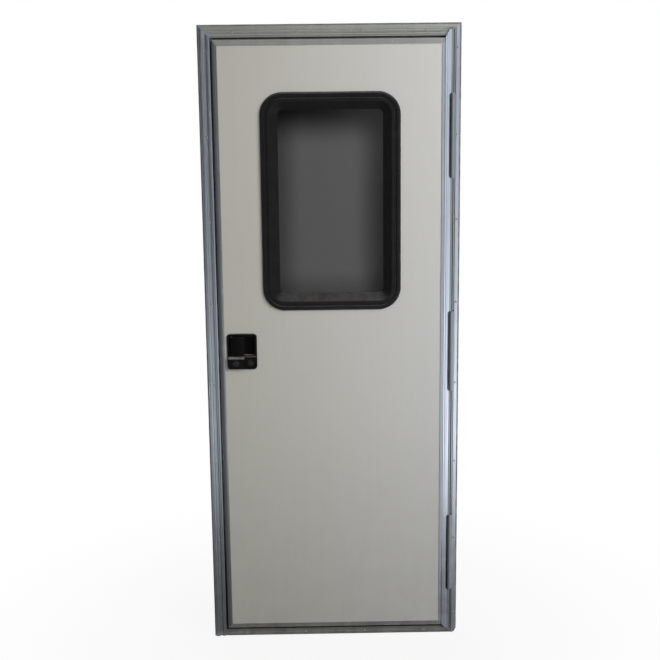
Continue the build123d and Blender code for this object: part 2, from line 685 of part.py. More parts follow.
def latch_tray():
    """Hollow behind the paddle, open to the front for the fingers."""
    x = (LATCH_X0 + TRAY_INSET, LATCH_X0 + LATCH_WIDTH - TRAY_INSET)
    z = (LATCH_Z0 + LOCK_BAND, LATCH_Z0 + LATCH_HEIGHT - TRAY_TOP_INSET)
    return block(x, (-FAR, BODY_BACK - TRAY_FLOOR), z)


def latch_housing():
    """Moulded housing: a plate on the skin, a body behind it, two lock blocks and the finger tray."""
    centre = (LATCH_X, LATCH_Z)
    plate = rounded_plate(centre, LATCH_WIDTH, LATCH_HEIGHT, LATCH_RADIUS, PLATE_FRONT, SKIN_FRONT)
    plate = softened(plate, Axis.Y, 0, PLATE_ROUND)
    inset = 2 * BODY_INSET
    size = (LATCH_WIDTH - inset, LATCH_HEIGHT - inset)
    body = rounded_plate(centre, *size, LATCH_RADIUS - BODY_INSET, SKIN_FRONT, BODY_BACK)
    key_block = lock_block(BLOCK_INSET, BLOCK_SPLIT, KEY_BLOCK_FRONT, KEY_BLOCK_SLOPE)
    bolt_start = BLOCK_SPLIT + BLOCK_SPLIT_GAP
    bolt_block = lock_block(bolt_start, LATCH_WIDTH - BLOCK_INSET, BOLT_BLOCK_FRONT, BOLT_BLOCK_SLOPE)
    housing = plate + body + key_block + bolt_block - latch_tray()
    for x in (KEY_X, BOLT_KEY_X):
        housing -= rod(LATCH_X0 + x, LATCH_Z0 + KEY_Z, CYLINDER_RADIUS + CYLINDER_CLEARANCE, -FAR, FAR)
    return housing - paddle_rod(PADDLE_PIN_RADIUS + PIN_CLEARANCE)


def paddle_rod(radius):
    """Upright rod on the paddle's pivot, let into the housing above and below the tray."""
    low = LATCH_Z0 + LOCK_BAND - PADDLE_PIN_SEAT
    high = LATCH_Z0 + LATCH_HEIGHT - TRAY_TOP_INSET + PADDLE_PIN_SEAT
    face = Pos(LATCH_X0 + PADDLE_PIVOT, PLATE_FRONT + PADDLE_PIVOT_SETBACK, low) * Circle(radius)
    return extrude(face, amount=high - low, dir=UP)


def paddle_pin():
    """Pin that the paddle turns on."""
    return paddle_rod(PADDLE_PIN_RADIUS)


def pull_paddle():
    """Pull paddle: a bowed plate with a grip lip at its free edge and a barrel on the pin."""
    pivot = (LATCH_X0 + PADDLE_PIVOT, PLATE_FRONT + PADDLE_PIVOT_SETBACK)
    free = LATCH_X0 + BLOCK_SPLIT
    front = PLATE_FRONT - PADDLE_RISE
    back = front + PADDLE_THICKNESS
    middle = (pivot[0] + free) / 2
    root = (pivot[0] + PADDLE_ROOT, back + PADDLE_ROOT_DROP)
    heel = (pivot[0] - PADDLE_HEEL, pivot[1])
    shoulder = (pivot[0] - PADDLE_EDGE, front + PADDLE_HEEL_DROP)
    brow = (free - PADDLE_EDGE, front + PADDLE_BOW)
    tip = (free, front + PADDLE_GRIP)
    grip = free - PADDLE_THICKNESS
    inside = (grip, back + PADDLE_BOW)
    sides = [
        ThreePointArc(shoulder, (middle, front), brow),
        Polyline(brow, (free, brow[1] + PADDLE_EDGE), tip, (grip, tip[1]), inside),
        ThreePointArc(inside, (middle, back), root),
        Polyline(root, (root[0], pivot[1]), heel, shoulder),
    ]
    barrel = Pos(*pivot) * Circle(PADDLE_BARREL_RADIUS)
    section = make_face(sides) + barrel - Pos(*pivot) * Circle(PADDLE_PIN_RADIUS + PIN_CLEARANCE)
    low = LATCH_Z0 + LOCK_BAND + PADDLE_END_CLEARANCE
    high = LATCH_Z0 + LATCH_HEIGHT - TRAY_TOP_INSET - PADDLE_END_CLEARANCE
    return extrude(Pos(0, 0, low) * section, amount=high - low, dir=UP)


def lock_cylinder(x, seat):
    """Lock cylinder with a collar on its block and a keyway."""
    x = LATCH_X0 + x
    z = LATCH_Z0 + KEY_Z
    face = seat - CYLINDER_COLLAR_RISE
    collar = softened(rod(x, z, CYLINDER_COLLAR, face, seat), Axis.Y, 0, CYLINDER_COLLAR_RISE / 2)
    wide = KEYWAY_WIDTH / 2
    tall = KEYWAY_LENGTH / 2
    keyway = block((x - wide, x + wide), (face, face + KEYWAY_DEPTH), (z - tall, z + tall))
    return collar + rod(x, z, CYLINDER_RADIUS, seat, BODY_BACK) - keyway


def key_cylinder():
    """Cylinder that locks the paddle."""
    return lock_cylinder(KEY_X, KEY_BLOCK_FRONT)


def deadbolt_cylinder():
    """Cylinder that throws the deadbolt."""
    return lock_cylinder(BOLT_KEY_X, BOLT_BLOCK_FRONT)


def latch_edge_plate():
    """Plate on the leaf's latch edge, flush with it, round the two bolts."""
    x = (LEAF_LEFT, LEAF_LEFT + CHANNEL_WALL)
    return edge_strip(x, 0) - bolt_openings(x, BOLT_FIT)


def latch_bolt():
    """Latch bolt, drawn back, with its slanted face."""
    tip = LEAF_LEFT - BOLT_PROUD
    bolt = bolt_openings((tip, tip + BOLT_LENGTH), 0)[0]
    return chamfer(bolt.edges().group_by(Axis.X)[0].group_by(Axis.Y)[0], SOFT_EDGE)


def deadbolt():
    """Round deadbolt, drawn back."""
    tip = LEAF_LEFT - BOLT_PROUD
    bolt = bolt_openings((tip, tip + BOLT_LENGTH), 0)[1]
    return chamfer(bolt.edges().group_by(Axis.X)[0], SOFT_EDGE)


def inner_latch_plate():
    """Plate of the latch on the inner skin."""
    back = SKIN_BACK + INNER_PLATE_THICKNESS
    plate = rounded_plate((LATCH_X, LATCH_Z), LATCH_WIDTH, LATCH_HEIGHT, LATCH_RADIUS, SKIN_BACK, back)
    return softened(plate, Axis.Y, -1, SOFT_EDGE)


def inner_lever():
    """Inside lever: a bowed grip on a post, with room for the fingers behind it."""
    seat = SKIN_BACK + INNER_PLATE_THICKNESS
    grip = seat + LEVER_GAP
    back = grip + LEVER_THICKNESS
    start = LATCH_X0 + LEVER_X
    end = start + LEVER_LENGTH
    points = [(start, seat), (start + LEVER_POST, seat), (start + LEVER_POST, grip), (end, grip)]
    section = rounded_at(outline(points + [(end, back), (start, back)]), back, 2 * SOFT_EDGE)
    lever = extrude(Pos(0, 0, LATCH_Z0 + LEVER_LOW) * section, amount=LEVER_HEIGHT, dir=UP)
    return softened(lever, Axis.Y, -1, SOFT_EDGE)


def deadbolt_knob():
    """Inside thumb turn of the deadbolt."""
    seat = SKIN_BACK + INNER_PLATE_THICKNESS
    base_back = seat + KNOB_BASE
    x = LATCH_X0 + BOLT_KEY_X
    z = LATCH_Z0 + KEY_Z
    base = softened(rod(x, z, KNOB_RADIUS, seat, base_back), Axis.Y, -1, SOFT_EDGE)
    wide = KNOB_GRIP_WIDTH / 2
    tall = KNOB_RADIUS - SOFT_EDGE
    grip = block((x - wide, x + wide), (base_back, base_back + KNOB_GRIP), (z - tall, z + tall))
    return base + softened(grip, Axis.Y, -1, SOFT_EDGE)


PIECES = [
    latch_jamb, hinge_jamb, head_jamb, sill_jamb, hinge_pin, weather_seal, strike_plate,
    leaf_latch_stile, leaf_hinge_stile, leaf_top_rail, leaf_bottom_rail, outer_skin, inner_skin, foam_core,
    window_outer_frame, window_gasket, window_glass, window_inner_frame,
    latch_housing, paddle_pin, pull_paddle, key_cylinder, deadbolt_cylinder,
    latch_edge_plate, latch_bolt, deadbolt, inner_latch_plate, inner_lever, deadbolt_knob,
]

os.makedirs("parts", exist_ok=True)
for piece in PIECES:
    export_step(piece(), f"parts/{piece.__name__}.step")
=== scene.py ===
import math

import bmesh
import bpy
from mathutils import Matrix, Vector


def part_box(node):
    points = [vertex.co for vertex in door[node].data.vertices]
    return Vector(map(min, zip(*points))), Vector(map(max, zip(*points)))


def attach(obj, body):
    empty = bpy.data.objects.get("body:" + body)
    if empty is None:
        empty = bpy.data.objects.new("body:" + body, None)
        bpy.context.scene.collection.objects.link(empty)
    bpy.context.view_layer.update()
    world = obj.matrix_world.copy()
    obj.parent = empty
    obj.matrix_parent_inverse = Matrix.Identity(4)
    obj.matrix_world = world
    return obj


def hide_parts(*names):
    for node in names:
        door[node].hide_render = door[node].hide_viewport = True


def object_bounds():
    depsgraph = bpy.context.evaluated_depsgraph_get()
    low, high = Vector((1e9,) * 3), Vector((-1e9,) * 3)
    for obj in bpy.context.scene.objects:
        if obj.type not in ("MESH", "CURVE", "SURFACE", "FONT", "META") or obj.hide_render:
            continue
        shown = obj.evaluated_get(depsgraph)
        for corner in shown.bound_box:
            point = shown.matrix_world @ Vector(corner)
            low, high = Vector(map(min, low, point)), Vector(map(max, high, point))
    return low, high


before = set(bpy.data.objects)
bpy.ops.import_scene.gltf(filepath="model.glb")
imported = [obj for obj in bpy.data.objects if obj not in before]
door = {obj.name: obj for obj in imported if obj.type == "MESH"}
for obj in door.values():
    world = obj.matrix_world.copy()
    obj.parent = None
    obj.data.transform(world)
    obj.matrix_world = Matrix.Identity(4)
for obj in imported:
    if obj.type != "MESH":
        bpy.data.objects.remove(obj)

cad_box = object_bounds()

# Lengths are in metres, apart from the lens and its sensor, which are in millimetres.


def in_radians(degrees):
    """Several angles in radians."""
    return [math.radians(angle) for angle in degrees]


# Shader building
def add(tree, kind, sockets, **properties):
    """One node with its settings; a socket given in place of a value is linked."""
    made = tree.nodes.new(kind)
    for name, value in properties.items():
        setattr(made, name, value)
    for name, value in sockets.items():
        if isinstance(value, bpy.types.NodeSocket):
            tree.links.new(value, made.inputs[name])
        else:
            made.inputs[name].default_value = value
    return made


def maths(tree, operation, *values):
    """Sum, larger value or other result of the values."""
    return add(tree, "ShaderNodeMath", dict(enumerate(values)), operation=operation).outputs[0]


def product(tree, result, *others):
    """Product of several values."""
    for other in others:
        result = maths(tree, "MULTIPLY", result, other)
    return result


def part_of(tree, mask, share):
    """Mask at a share of its strength."""
    return maths(tree, "MULTIPLY", mask, share)


def between(tree, value, start, end, first=0.0, last=1.0):
    """First where the value is at the start, last where it is at the end, and eased from one to the other."""
    limits = {"Value": value, "From Min": start, "From Max": end, "To Min": first, "To Max": last}
    return add(tree, "ShaderNodeMapRange", limits, interpolation_type="SMOOTHSTEP").outputs["Result"]


def ranged(tree, mask, first, last):
    """First where the mask is nought and last where it is one."""
    return between(tree, mask, 0.0, 1.0, first, last)


def tinted(tree, mask, first, second):
    """First colour where the mask is dark and second colour where it is light."""
    return add(tree, "ShaderNodeMix", {0: mask, 6: first, 7: second}, data_type="RGBA").outputs[2]


def cloudy(tree, place, scale, detail=4.0, roughness=0.55):
    """Cloudy noise."""
    sockets = {"Vector": place, "Scale": scale, "Detail": detail, "Roughness": roughness}
    return add(tree, "ShaderNodeTexNoise", sockets).outputs["Fac"]


def stretched(tree, place, scale, degrees=(0.0, 0.0, 0.0)):
    """Place scaled along each axis, and turned."""
    sockets = {"Vector": place, "Scale": scale, "Rotation": in_radians(degrees)}
    return add(tree, "ShaderNodeMapping", sockets).outputs["Vector"]


def along_axes(tree, vector):
    """X, Y and Z of a vector."""
    return add(tree, "ShaderNodeSeparateXYZ", {"Vector": vector}).outputs


def new_effect(name, inputs, outputs):
    """Empty node group with named sockets, and its input node and output node."""
    group = bpy.data.node_groups.new(name, "ShaderNodeTree")
    for label, kind in inputs:
        group.interface.new_socket(label, in_out="INPUT", socket_type=kind)
    for label in outputs:
        group.interface.new_socket(label, in_out="OUTPUT", socket_type="NodeSocketFloat")
    return group, group.nodes.new("NodeGroupInput").outputs, group.nodes.new("NodeGroupOutput").inputs


def effect(tree, group, sockets):
    """Placed copy of an effect, as its outputs."""
    return add(tree, "ShaderNodeGroup", sockets, node_tree=group).outputs


def new_finish(name, **sockets):
    """New material: its node tree, its shader and the place on the piece."""
    material = bpy.data.materials.new(name)
    material.use_nodes = True
    tree = material.node_tree
    shader = tree.nodes["Principled BSDF"]
    for label, value in sockets.items():
        shader.inputs[label.replace("_", " ")].default_value = value
    place = tree.nodes.new("ShaderNodeTexCoord").outputs["Object"]
    return material, tree, shader, place


def dress(tree, shader, colour, roughness):
    """Colour and roughness led to a finish's shader."""
    tree.links.new(colour, shader.inputs["Base Color"])
    tree.links.new(roughness, shader.inputs["Roughness"])


def bumped(tree, shader, height, strength, distance):
    """Surface raised by a height."""
    sockets = {"Height": height, "Strength": strength, "Distance": distance}
    tree.links.new(add(tree, "ShaderNodeBump", sockets).outputs["Normal"], shader.inputs["Normal"])


# Effects that several finishes share
PLACE = ("Place", "NodeSocketVector")
FINE_LINES = (7.0, 7.0, 7.0)
SCRATCH_STRETCH = (420.0, 420.0, 14.0)
SCRATCH_DEGREES = (35.0, -65.0)
RUN_STRETCH = (60.0, 60.0, 2.2)

# Rim of the jamb: how far inside its outline the painted shade starts and is full, at the sides and top and at
# the foot
RIM_START = 0.0045
RIM_FULL = 0.0025
FOOT_START = 0.004
FOOT_FULL = 0.002


def make_die_lines():
    """Fine lines and broad bands along an extrusion, from a place already stretched along it."""
    group, given, result = new_effect("die_lines", [PLACE], ["Lines", "Bands"])
    closer = stretched(group, given["Place"], FINE_LINES)
    fine = cloudy(group, closer, scale=1.0, detail=3.0, roughness=0.7)
    broad = cloudy(group, given["Place"], scale=1.0, detail=2.0, roughness=0.5)
    group.links.new(between(group, fine, 0.3, 0.7), result["Lines"])
    group.links.new(between(group, broad, 0.3, 0.7), result["Bands"])
    return group


def make_scuffs():
    """Sparse short scratches in two directions."""
    group, given, result = new_effect("scuffs", [PLACE], ["Mask"])
    marks = []
    for degrees in SCRATCH_DEGREES:
        run = stretched(group, given["Place"], SCRATCH_STRETCH, (0.0, degrees, 0.0))
        streaks = cloudy(group, run, scale=1.0, detail=2.0, roughness=0.5)
        marks.append(between(group, streaks, 0.66, 0.74))
    clouds = cloudy(group, given["Place"], scale=9.0, detail=2.0, roughness=0.5)
    patches = between(group, clouds, 0.48, 0.62)
    both = maths(group, "MAXIMUM", *marks)
    group.links.new(product(group, both, patches), result["Mask"])
    return group


def make_soiling_and_low_shade():
    """Dirt and painted shade that rise from the sill and thin with height, and faint runs of dirt above them.
    """
    group, given, result = new_effect("soiling_and_low_shade", [PLACE, ("Height", "NodeSocketFloat")], ["Mask"])
    height = maths(group, "DIVIDE", along_axes(group, given["Place"])["Z"], given["Height"])
    risen = ranged(group, height, 1.0, 0.0)
    spots = cloudy(group, given["Place"], scale=14.0, detail=5.0, roughness=0.62)
    mottled = between(group, spots, 0.35, 0.7, first=0.6)
    streaks = cloudy(group, stretched(group, given["Place"], RUN_STRETCH), scale=1.0, detail=3.0)
    runs = between(group, streaks, 0.45, 0.75, last=0.14)
    group.links.new(maths(group, "ADD", product(group, risen, mottled), runs), result["Mask"])
    return group


def make_dust_and_top_highlight():
    """Dust on what faces up, which is also a painted highlight on ledges lit from above, in drifts and broken
    up by a fine noise.
    """
    group, given, result = new_effect("dust_and_top_highlight", [PLACE], ["Mask"])
    normal = group.nodes.new("ShaderNodeNewGeometry").outputs["Normal"]
    facing = between(group, along_axes(group, normal)["Z"], 0.3, 0.8)
    clouds = cloudy(group, given["Place"], scale=30.0, detail=3.0, roughness=0.6)
    drifts = between(group, clouds, 0.3, 0.65, first=0.55)
    specks = cloudy(group, given["Place"], scale=700.0, detail=3.0, roughness=0.6)
    grains = between(group, specks, 0.25, 0.6, first=0.5)
    group.links.new(product(group, facing, drifts, grains), result["Mask"])
    return group


def make_moulded_grain():
    """Fine leathery grain of a moulding, and where it is rubbed smooth."""
    group, given, result = new_effect("moulded_grain", [PLACE], ["Height", "Rubbed"])
    cells = add(group, "ShaderNodeTexVoronoi", {"Vector": given["Place"], "Scale": 900.0}).outputs["Distance"]
    fine = cloudy(group, given["Place"], scale=2200.0, detail=2.0, roughness=0.5)
    clouds = cloudy(group, given["Place"], scale=24.0, detail=4.0, roughness=0.6)
    group.links.new(maths(group, "ADD", cells, fine), result["Height"])
    group.links.new(between(group, clouds, 0.4, 0.7), result["Rubbed"])
    return group


def make_edges_and_corner_shade():
    """Outer edges, where a finish is rubbed and painted lighter as an edge highlight, and inner corners, where
    painted shade goes.
    """
    inputs = [PLACE, ("Edge", "NodeSocketFloat"), ("Corner", "NodeSocketFloat")]
    group, given, result = new_effect("edges_and_corner_shade", inputs, ["Edges", "Corners"])
    # Mask of outer edges, for rubbed edges and painted edge highlights.
    flat = group.nodes.new("ShaderNodeNewGeometry").outputs["Normal"]
    rounded = add(group, "ShaderNodeBevel", {"Radius": given["Edge"]}, samples=6).outputs["Normal"]
    agree = add(group, "ShaderNodeVectorMath", {0: flat, 1: rounded}, operation="DOT_PRODUCT")
    sharp = between(group, agree.outputs["Value"], 0.78, 0.985, first=1.0, last=0.0)
    # Mask of inner corners, from how closed in each point is, for painted shade.
    around = {"Distance": given["Corner"]}
    unshaded = add(group, "ShaderNodeAmbientOcclusion", around, samples=8, only_local=True)
    closed = between(group, unshaded.outputs["AO"], 0.3, 0.9, first=1.0, last=0.0)
    exposed = maths(group, "SUBTRACT", 1.0, closed)
    spots = cloudy(group, given["Place"], scale=170.0, detail=3.0, roughness=0.6)
    patchy = between(group, spots, 0.35, 0.65, first=0.35)
    group.links.new(product(group, sharp, patchy, exposed), result["Edges"])
    group.links.new(closed, result["Corners"])
    return group


def make_rim_painted_shade():
    """Painted shade along the jamb's outermost edges."""
    group, given, result = new_effect("rim_painted_shade", [PLACE], ["Mask"])
    at = along_axes(group, given["Place"])
    low, high = cad_box
    sides = between(group, maths(group, "ABSOLUTE", at["X"]), high[0] - RIM_START, high[0] - RIM_FULL)
    top = between(group, at["Z"], high[2] - RIM_START, high[2] - RIM_FULL)
    foot = between(group, at["Z"], low[2] + FOOT_FULL, low[2] + FOOT_START, first=1.0, last=0.0)
    rim_shade_mask = maths(group, "MAXIMUM", sides, maths(group, "MAXIMUM", top, foot))
    clouds = cloudy(group, given["Place"], scale=26.0, detail=4.0, roughness=0.6)
    uneven = between(group, clouds, 0.3, 0.65, first=0.55)
    group.links.new(product(group, rim_shade_mask, uneven), result["Mask"])
    return group


die_lines = make_die_lines()
scuffs = make_scuffs()
soiling_and_low_shade = make_soiling_and_low_shade()
dust_and_top_highlight = make_dust_and_top_highlight()
moulded_grain = make_moulded_grain()
edges_and_corner_shade = make_edges_and_corner_shade()
rim_painted_shade = make_rim_painted_shade()


# Finishes
# Aluminium: run of its lines, dark and light tint of each extrusion, and smoothest and roughest places. The
# extrusions' tints are lit and shaded copies of one aluminium: the latch side is painted darker as shade, the
# hinge side lighter and bluer as a painted reflection, and the crossbars lie in between.
UPRIGHT_LINES = (170.0, 170.0, 0.8)
LEVEL_LINES = (0.8, 170.0, 170.0)
LATCH_JAMB_SHADED_TINTS = [(0.30, 0.322, 0.355, 1.0), (0.42, 0.442, 0.485, 1.0)]
HINGE_JAMB_LIT_TINTS = [(0.40, 0.43, 0.475, 1.0), (0.57, 0.60, 0.655, 1.0)]
LATCH_STILE_SHADED_TINTS = [(0.24, 0.248, 0.256, 1.0), (0.345, 0.353, 0.362, 1.0)]
HINGE_STILE_LIT_TINTS = [(0.52, 0.56, 0.63, 1.0), (0.73, 0.78, 0.86, 1.0)]
CROSSBAR_TINTS = [(0.37, 0.368, 0.350, 1.0), (0.52, 0.516, 0.492, 1.0)]
SCRATCHED_ALUMINIUM = (0.74, 0.76, 0.80, 1.0)
# Lighter aluminium on outer edges, for rubbed edges and painted edge highlights together.
RUBBED_AND_LIT_ALUMINIUM = (0.80, 0.81, 0.83, 1.0)
UPRIGHT_ROUGHNESS = (0.30, 0.44)
CROSSBAR_ROUGHNESS = (0.46, 0.60)

# Aluminium's dirt and painted shade: how high the darkening from the sill rises, its strength, the strength of
# the painted shade in inner corners and along the rim, and how far behind the flange the painted shade at the
# joints reaches
ALUMINIUM_DIRT_AND_SHADE = (0.052, 0.050, 0.048, 1.0)
DIRT_AND_SHADE_HEIGHT = 0.60
SILL_DIRT_AND_SHADE = 0.65
CORNER_SHADE = 0.4
RIM_SHADE = 0.8
GAP_SHADE_DEPTH = 0.012
DIRT_AND_SHADE_METALLIC = 0.1
DIRT_AND_SHADE_ROUGHNESS = 0.22

# Painted shade towards the leaf's joints, where the gaps fall in shade: where it begins, where it is full, and
# its strength there
HINGE_STILE_GAP_SHADE = [(0.3558, 0.3579, 0.97), (0.3345, 0.3325, 0.45)]
HINGE_JAMB_GAP_SHADE = [(0.3625, 0.3560, 0.76)]
LATCH_STILE_GAP_SHADE = [(-0.3285, -0.3340, 0.75)]

# Skins and core
# Gel coat on the latch side and the hinge side, yellower and a little darker on the latch side
LATCH_SIDE_GEL = (0.560, 0.543, 0.487, 1.0)
HINGE_SIDE_GEL = (0.575, 0.570, 0.548, 1.0)
SPECKLED_GEL = (0.46, 0.455, 0.43, 1.0)
# Darker gel for the foot, for dirt and painted shade together
SOILED_AND_SHADED_GEL = (0.30, 0.30, 0.27, 1.0)
MARKED_GEL = (0.36, 0.35, 0.33, 1.0)
DARKER_SHEET = (0.60, 0.585, 0.55, 1.0)
LIGHTER_SHEET = (0.66, 0.645, 0.605, 1.0)
SOILED_SHEET = (0.34, 0.32, 0.28, 1.0)
SHADED_FOAM = (0.66, 0.63, 0.52, 1.0)
PALE_FOAM = (0.78, 0.75, 0.66, 1.0)

# Plastic and rubber
BLACK_PLASTIC = (0.0053, 0.0045, 0.0048, 1.0)
CHALKY_PLASTIC = (0.0089, 0.0078, 0.0082, 1.0)
SCRAPED_PLASTIC = (0.05, 0.05, 0.05, 1.0)
# Lighter plastic on outer edges, for rubbed edges and painted edge highlights together.
RUBBED_AND_LIT_PLASTIC = (0.035, 0.034, 0.033, 1.0)
# Dust colours that are also painted highlights on ledges that face up
WINDOW_DUST_HIGHLIGHT = (0.16, 0.155, 0.15, 1.0)
LATCH_DUST_HIGHLIGHT = (0.52, 0.50, 0.47, 1.0)
PADDLE_DUST_HIGHLIGHT = (0.10, 0.097, 0.092, 1.0)
DARK_RUBBER = (0.014, 0.014, 0.014, 1.0)
PALER_RUBBER = (0.026, 0.026, 0.026, 1.0)
DUSTY_RUBBER = (0.16, 0.15, 0.14, 1.0)

# Zinc on the steel and black plating on the locks
BRUSHED_STRETCH = (260.0, 260.0, 6.0)
DULL_ZINC = (0.42, 0.43, 0.44, 1.0)
BRIGHT_ZINC = (0.54, 0.55, 0.56, 1.0)
SCRATCHED_ZINC = (0.72, 0.72, 0.70, 1.0)
# Darker zinc in inner corners, as painted shade
CORNER_SHADE_ZINC = (0.10, 0.10, 0.095, 1.0)
BLACK_PLATING = (0.012, 0.012, 0.012, 1.0)
THIN_PLATING = (0.030, 0.029, 0.028, 1.0)
SCRATCHED_PLATING = (0.36, 0.34, 0.31, 1.0)
# Lighter plating on outer edges, for worn edges and painted edge highlights together.
WORN_AND_LIT_PLATING = (0.34, 0.32, 0.29, 1.0)

# Painted shade on the pane near its frame: how far inside an edge it starts to deepen and is deepest, and how
# clear the pane is there
HINGE_SIDE_SHADE = (0.125, 0.022, 0.12)
LATCH_SIDE_SHADE = (0.100, 0.020, 0.45)
UPPER_SHADE = (0.140, 0.026, 0.02)
LOWER_SHADE = (0.100, 0.024, 0.6)
# Painted shade near the frame, the pane's own tint, and its smears
SHADED_SMOKE = (0.003, 0.0028, 0.003, 1.0)
CLEAR_SMOKE = (0.086, 0.086, 0.086, 1.0)
SMEARED_SMOKE = (0.12, 0.12, 0.12, 1.0)
SMEAR_STRETCH = (9.0, 9.0, 3.0)
SMEAR_DEGREES = (0.0, 25.0, 0.0)


def make_mill_aluminium(name, along, tints, smooth=UPRIGHT_ROUGHNESS, joints=()):
    """Dull drawn aluminium, with its lines along one axis, dirt and painted shade rising from the sill,
    painted shade in its corners and along its rim, and painted shade towards the gaps at the joints beside it.
    """
    material, tree, shader, place = new_finish(name, Specular_IOR_Level=0.1)
    lines = effect(tree, die_lines, {"Place": stretched(tree, place, along)})
    edge_and_corner_masks = effect(tree, edges_and_corner_shade, {"Place": place, "Edge": 0.0010, "Corner": 0.004})
    marks = effect(tree, scuffs, {"Place": place})["Mask"]
    dirt_and_low_shade = effect(tree, soiling_and_low_shade, {"Place": place, "Height": DIRT_AND_SHADE_HEIGHT})["Mask"]
    rim_shade_mask = effect(tree, rim_painted_shade, {"Place": place})["Mask"]
    clouds = cloudy(tree, place, scale=5.0, detail=5.0, roughness=0.6)
    blotches = between(tree, clouds, 0.35, 0.7, last=0.5)
    dark, light = tints
    metal = tinted(tree, lines["Bands"], dark, light)
    dull = tinted(tree, blotches, metal, dark)
    scratched = tinted(tree, marks, dull, SCRATCHED_ALUMINIUM)
    # Outer edges lighter: rubbed, and painted as edge highlights.
    rubbed_and_highlit = tinted(tree, part_of(tree, edge_and_corner_masks["Edges"], 0.55), scratched, RUBBED_AND_LIT_ALUMINIUM)
    # Painted shade in inner corners and along the rim, and dirt with painted shade rising from the sill.
    corner_and_rim_shade = maths(tree, "MAXIMUM", part_of(tree, edge_and_corner_masks["Corners"], CORNER_SHADE), part_of(tree, rim_shade_mask, RIM_SHADE))
    settled_and_painted_light = maths(tree, "MAXIMUM", corner_and_rim_shade, part_of(tree, dirt_and_low_shade, SILL_DIRT_AND_SHADE))
    at = along_axes(tree, place)
    outside = between(tree, at["Y"], 0.0, GAP_SHADE_DEPTH, first=1.0, last=0.0)
    # Painted shade on the front towards the gaps at the joints, which also takes the metal's sheen away there.
    for start, full, share in joints:
        beyond = between(tree, at["X"], start, full, last=share)
        settled_and_painted_light = maths(tree, "MAXIMUM", settled_and_painted_light, product(tree, beyond, outside))
    drawn = ranged(tree, lines["Lines"], *smooth)
    rough = maths(tree, "ADD", drawn, part_of(tree, settled_and_painted_light, DIRT_AND_SHADE_ROUGHNESS))
    dress(tree, shader, tinted(tree, settled_and_painted_light, rubbed_and_highlit, ALUMINIUM_DIRT_AND_SHADE), rough)
    tree.links.new(ranged(tree, settled_and_painted_light, 1.0, DIRT_AND_SHADE_METALLIC), shader.inputs["Metallic"])
    bumped(tree, shader, lines["Lines"], strength=0.12, distance=0.0006)
    return material


def make_outer_fibreglass():
    """Smooth off-white skin with a faint orange peel, yellower and a little darker towards the latch side."""
    material, tree, shader, place = new_finish("outer_fibreglass")
    dirt_and_low_shade = effect(tree, soiling_and_low_shade, {"Place": place, "Height": 0.9})["Mask"]
    marks = effect(tree, scuffs, {"Place": place})["Mask"]
    drift = cloudy(tree, place, scale=2.3, detail=3.0, roughness=0.5)
    across = maths(tree, "ADD", along_axes(tree, place)["X"], part_of(tree, drift, 0.3))
    speckle = cloudy(tree, place, scale=480.0, detail=2.0, roughness=0.6)
    peel = cloudy(tree, place, scale=210.0, detail=2.0, roughness=0.5)
    gel = tinted(tree, between(tree, across, -0.2, 0.5), LATCH_SIDE_GEL, HINGE_SIDE_GEL)
    mottled = tinted(tree, between(tree, speckle, 0.35, 0.65, last=0.10), gel, SPECKLED_GEL)
    # Darker towards the bottom: dirt and painted shade together.
    soiled_and_shaded = tinted(tree, part_of(tree, dirt_and_low_shade, 0.22), mottled, SOILED_AND_SHADED_GEL)
    marked = tinted(tree, part_of(tree, marks, 0.18), soiled_and_shaded, MARKED_GEL)
    dress(tree, shader, marked, between(tree, drift, 0.3, 0.7, first=0.38, last=0.48))
    bumped(tree, shader, peel, strength=0.10, distance=0.0008)
    return material


def make_inner_panel():
    """Off-white inner sheet with a fine pressed weave."""
    material, tree, shader, place = new_finish("inner_panel")
    drift = cloudy(tree, place, scale=3.0, detail=4.0, roughness=0.5)
    dirt_and_low_shade = effect(tree, soiling_and_low_shade, {"Place": place, "Height": 0.4})["Mask"]
    threads = {"Vector": place, "Scale": 160.0, "Distortion": 1.5}
    across = add(tree, "ShaderNodeTexWave", threads, bands_direction="X").outputs["Fac"]
    upward = add(tree, "ShaderNodeTexWave", threads, bands_direction="Z").outputs["Fac"]
    weave = product(tree, across, upward)
    sheet = tinted(tree, between(tree, drift, 0.3, 0.7), DARKER_SHEET, LIGHTER_SHEET)
    soiled_and_shaded = tinted(tree, part_of(tree, dirt_and_low_shade, 0.2), sheet, SOILED_SHEET)
    dress(tree, shader, soiled_and_shaded, ranged(tree, weave, 0.62, 0.5))
    bumped(tree, shader, weave, strength=0.2, distance=0.0004)
    return material


def make_black_plastic(name, gloss, worn_and_highlit, dust_and_highlight):
    """Black moulded plastic with a fine grain, rubbed edges that are also painted edge highlights, and dust on
    its ledges that is also a painted highlight.
    """
    material, tree, shader, place = new_finish(name, Specular_IOR_Level=gloss)
    grain = effect(tree, moulded_grain, {"Place": place})
    edge_and_corner_masks = effect(tree, edges_and_corner_shade, {"Place": place, "Edge": 0.0012, "Corner": 0.004})
    settled_and_painted_light = effect(tree, dust_and_top_highlight, {"Place": place})["Mask"]
    marks = effect(tree, scuffs, {"Place": place})["Mask"]
    chalky = tinted(tree, grain["Rubbed"], BLACK_PLASTIC, CHALKY_PLASTIC)
    scraped = tinted(tree, part_of(tree, marks, 0.4), chalky, SCRAPED_PLASTIC)
    rubbed_and_highlit = tinted(tree, part_of(tree, edge_and_corner_masks["Edges"], worn_and_highlit), scraped, RUBBED_AND_LIT_PLASTIC)
    dusted_and_highlit = tinted(tree, part_of(tree, settled_and_painted_light, 0.5), rubbed_and_highlit, dust_and_highlight)
    dress(tree, shader, dusted_and_highlit, ranged(tree, grain["Rubbed"], 0.50, 0.40))
    bumped(tree, shader, grain["Height"], strength=0.08, distance=0.0003)
    return material


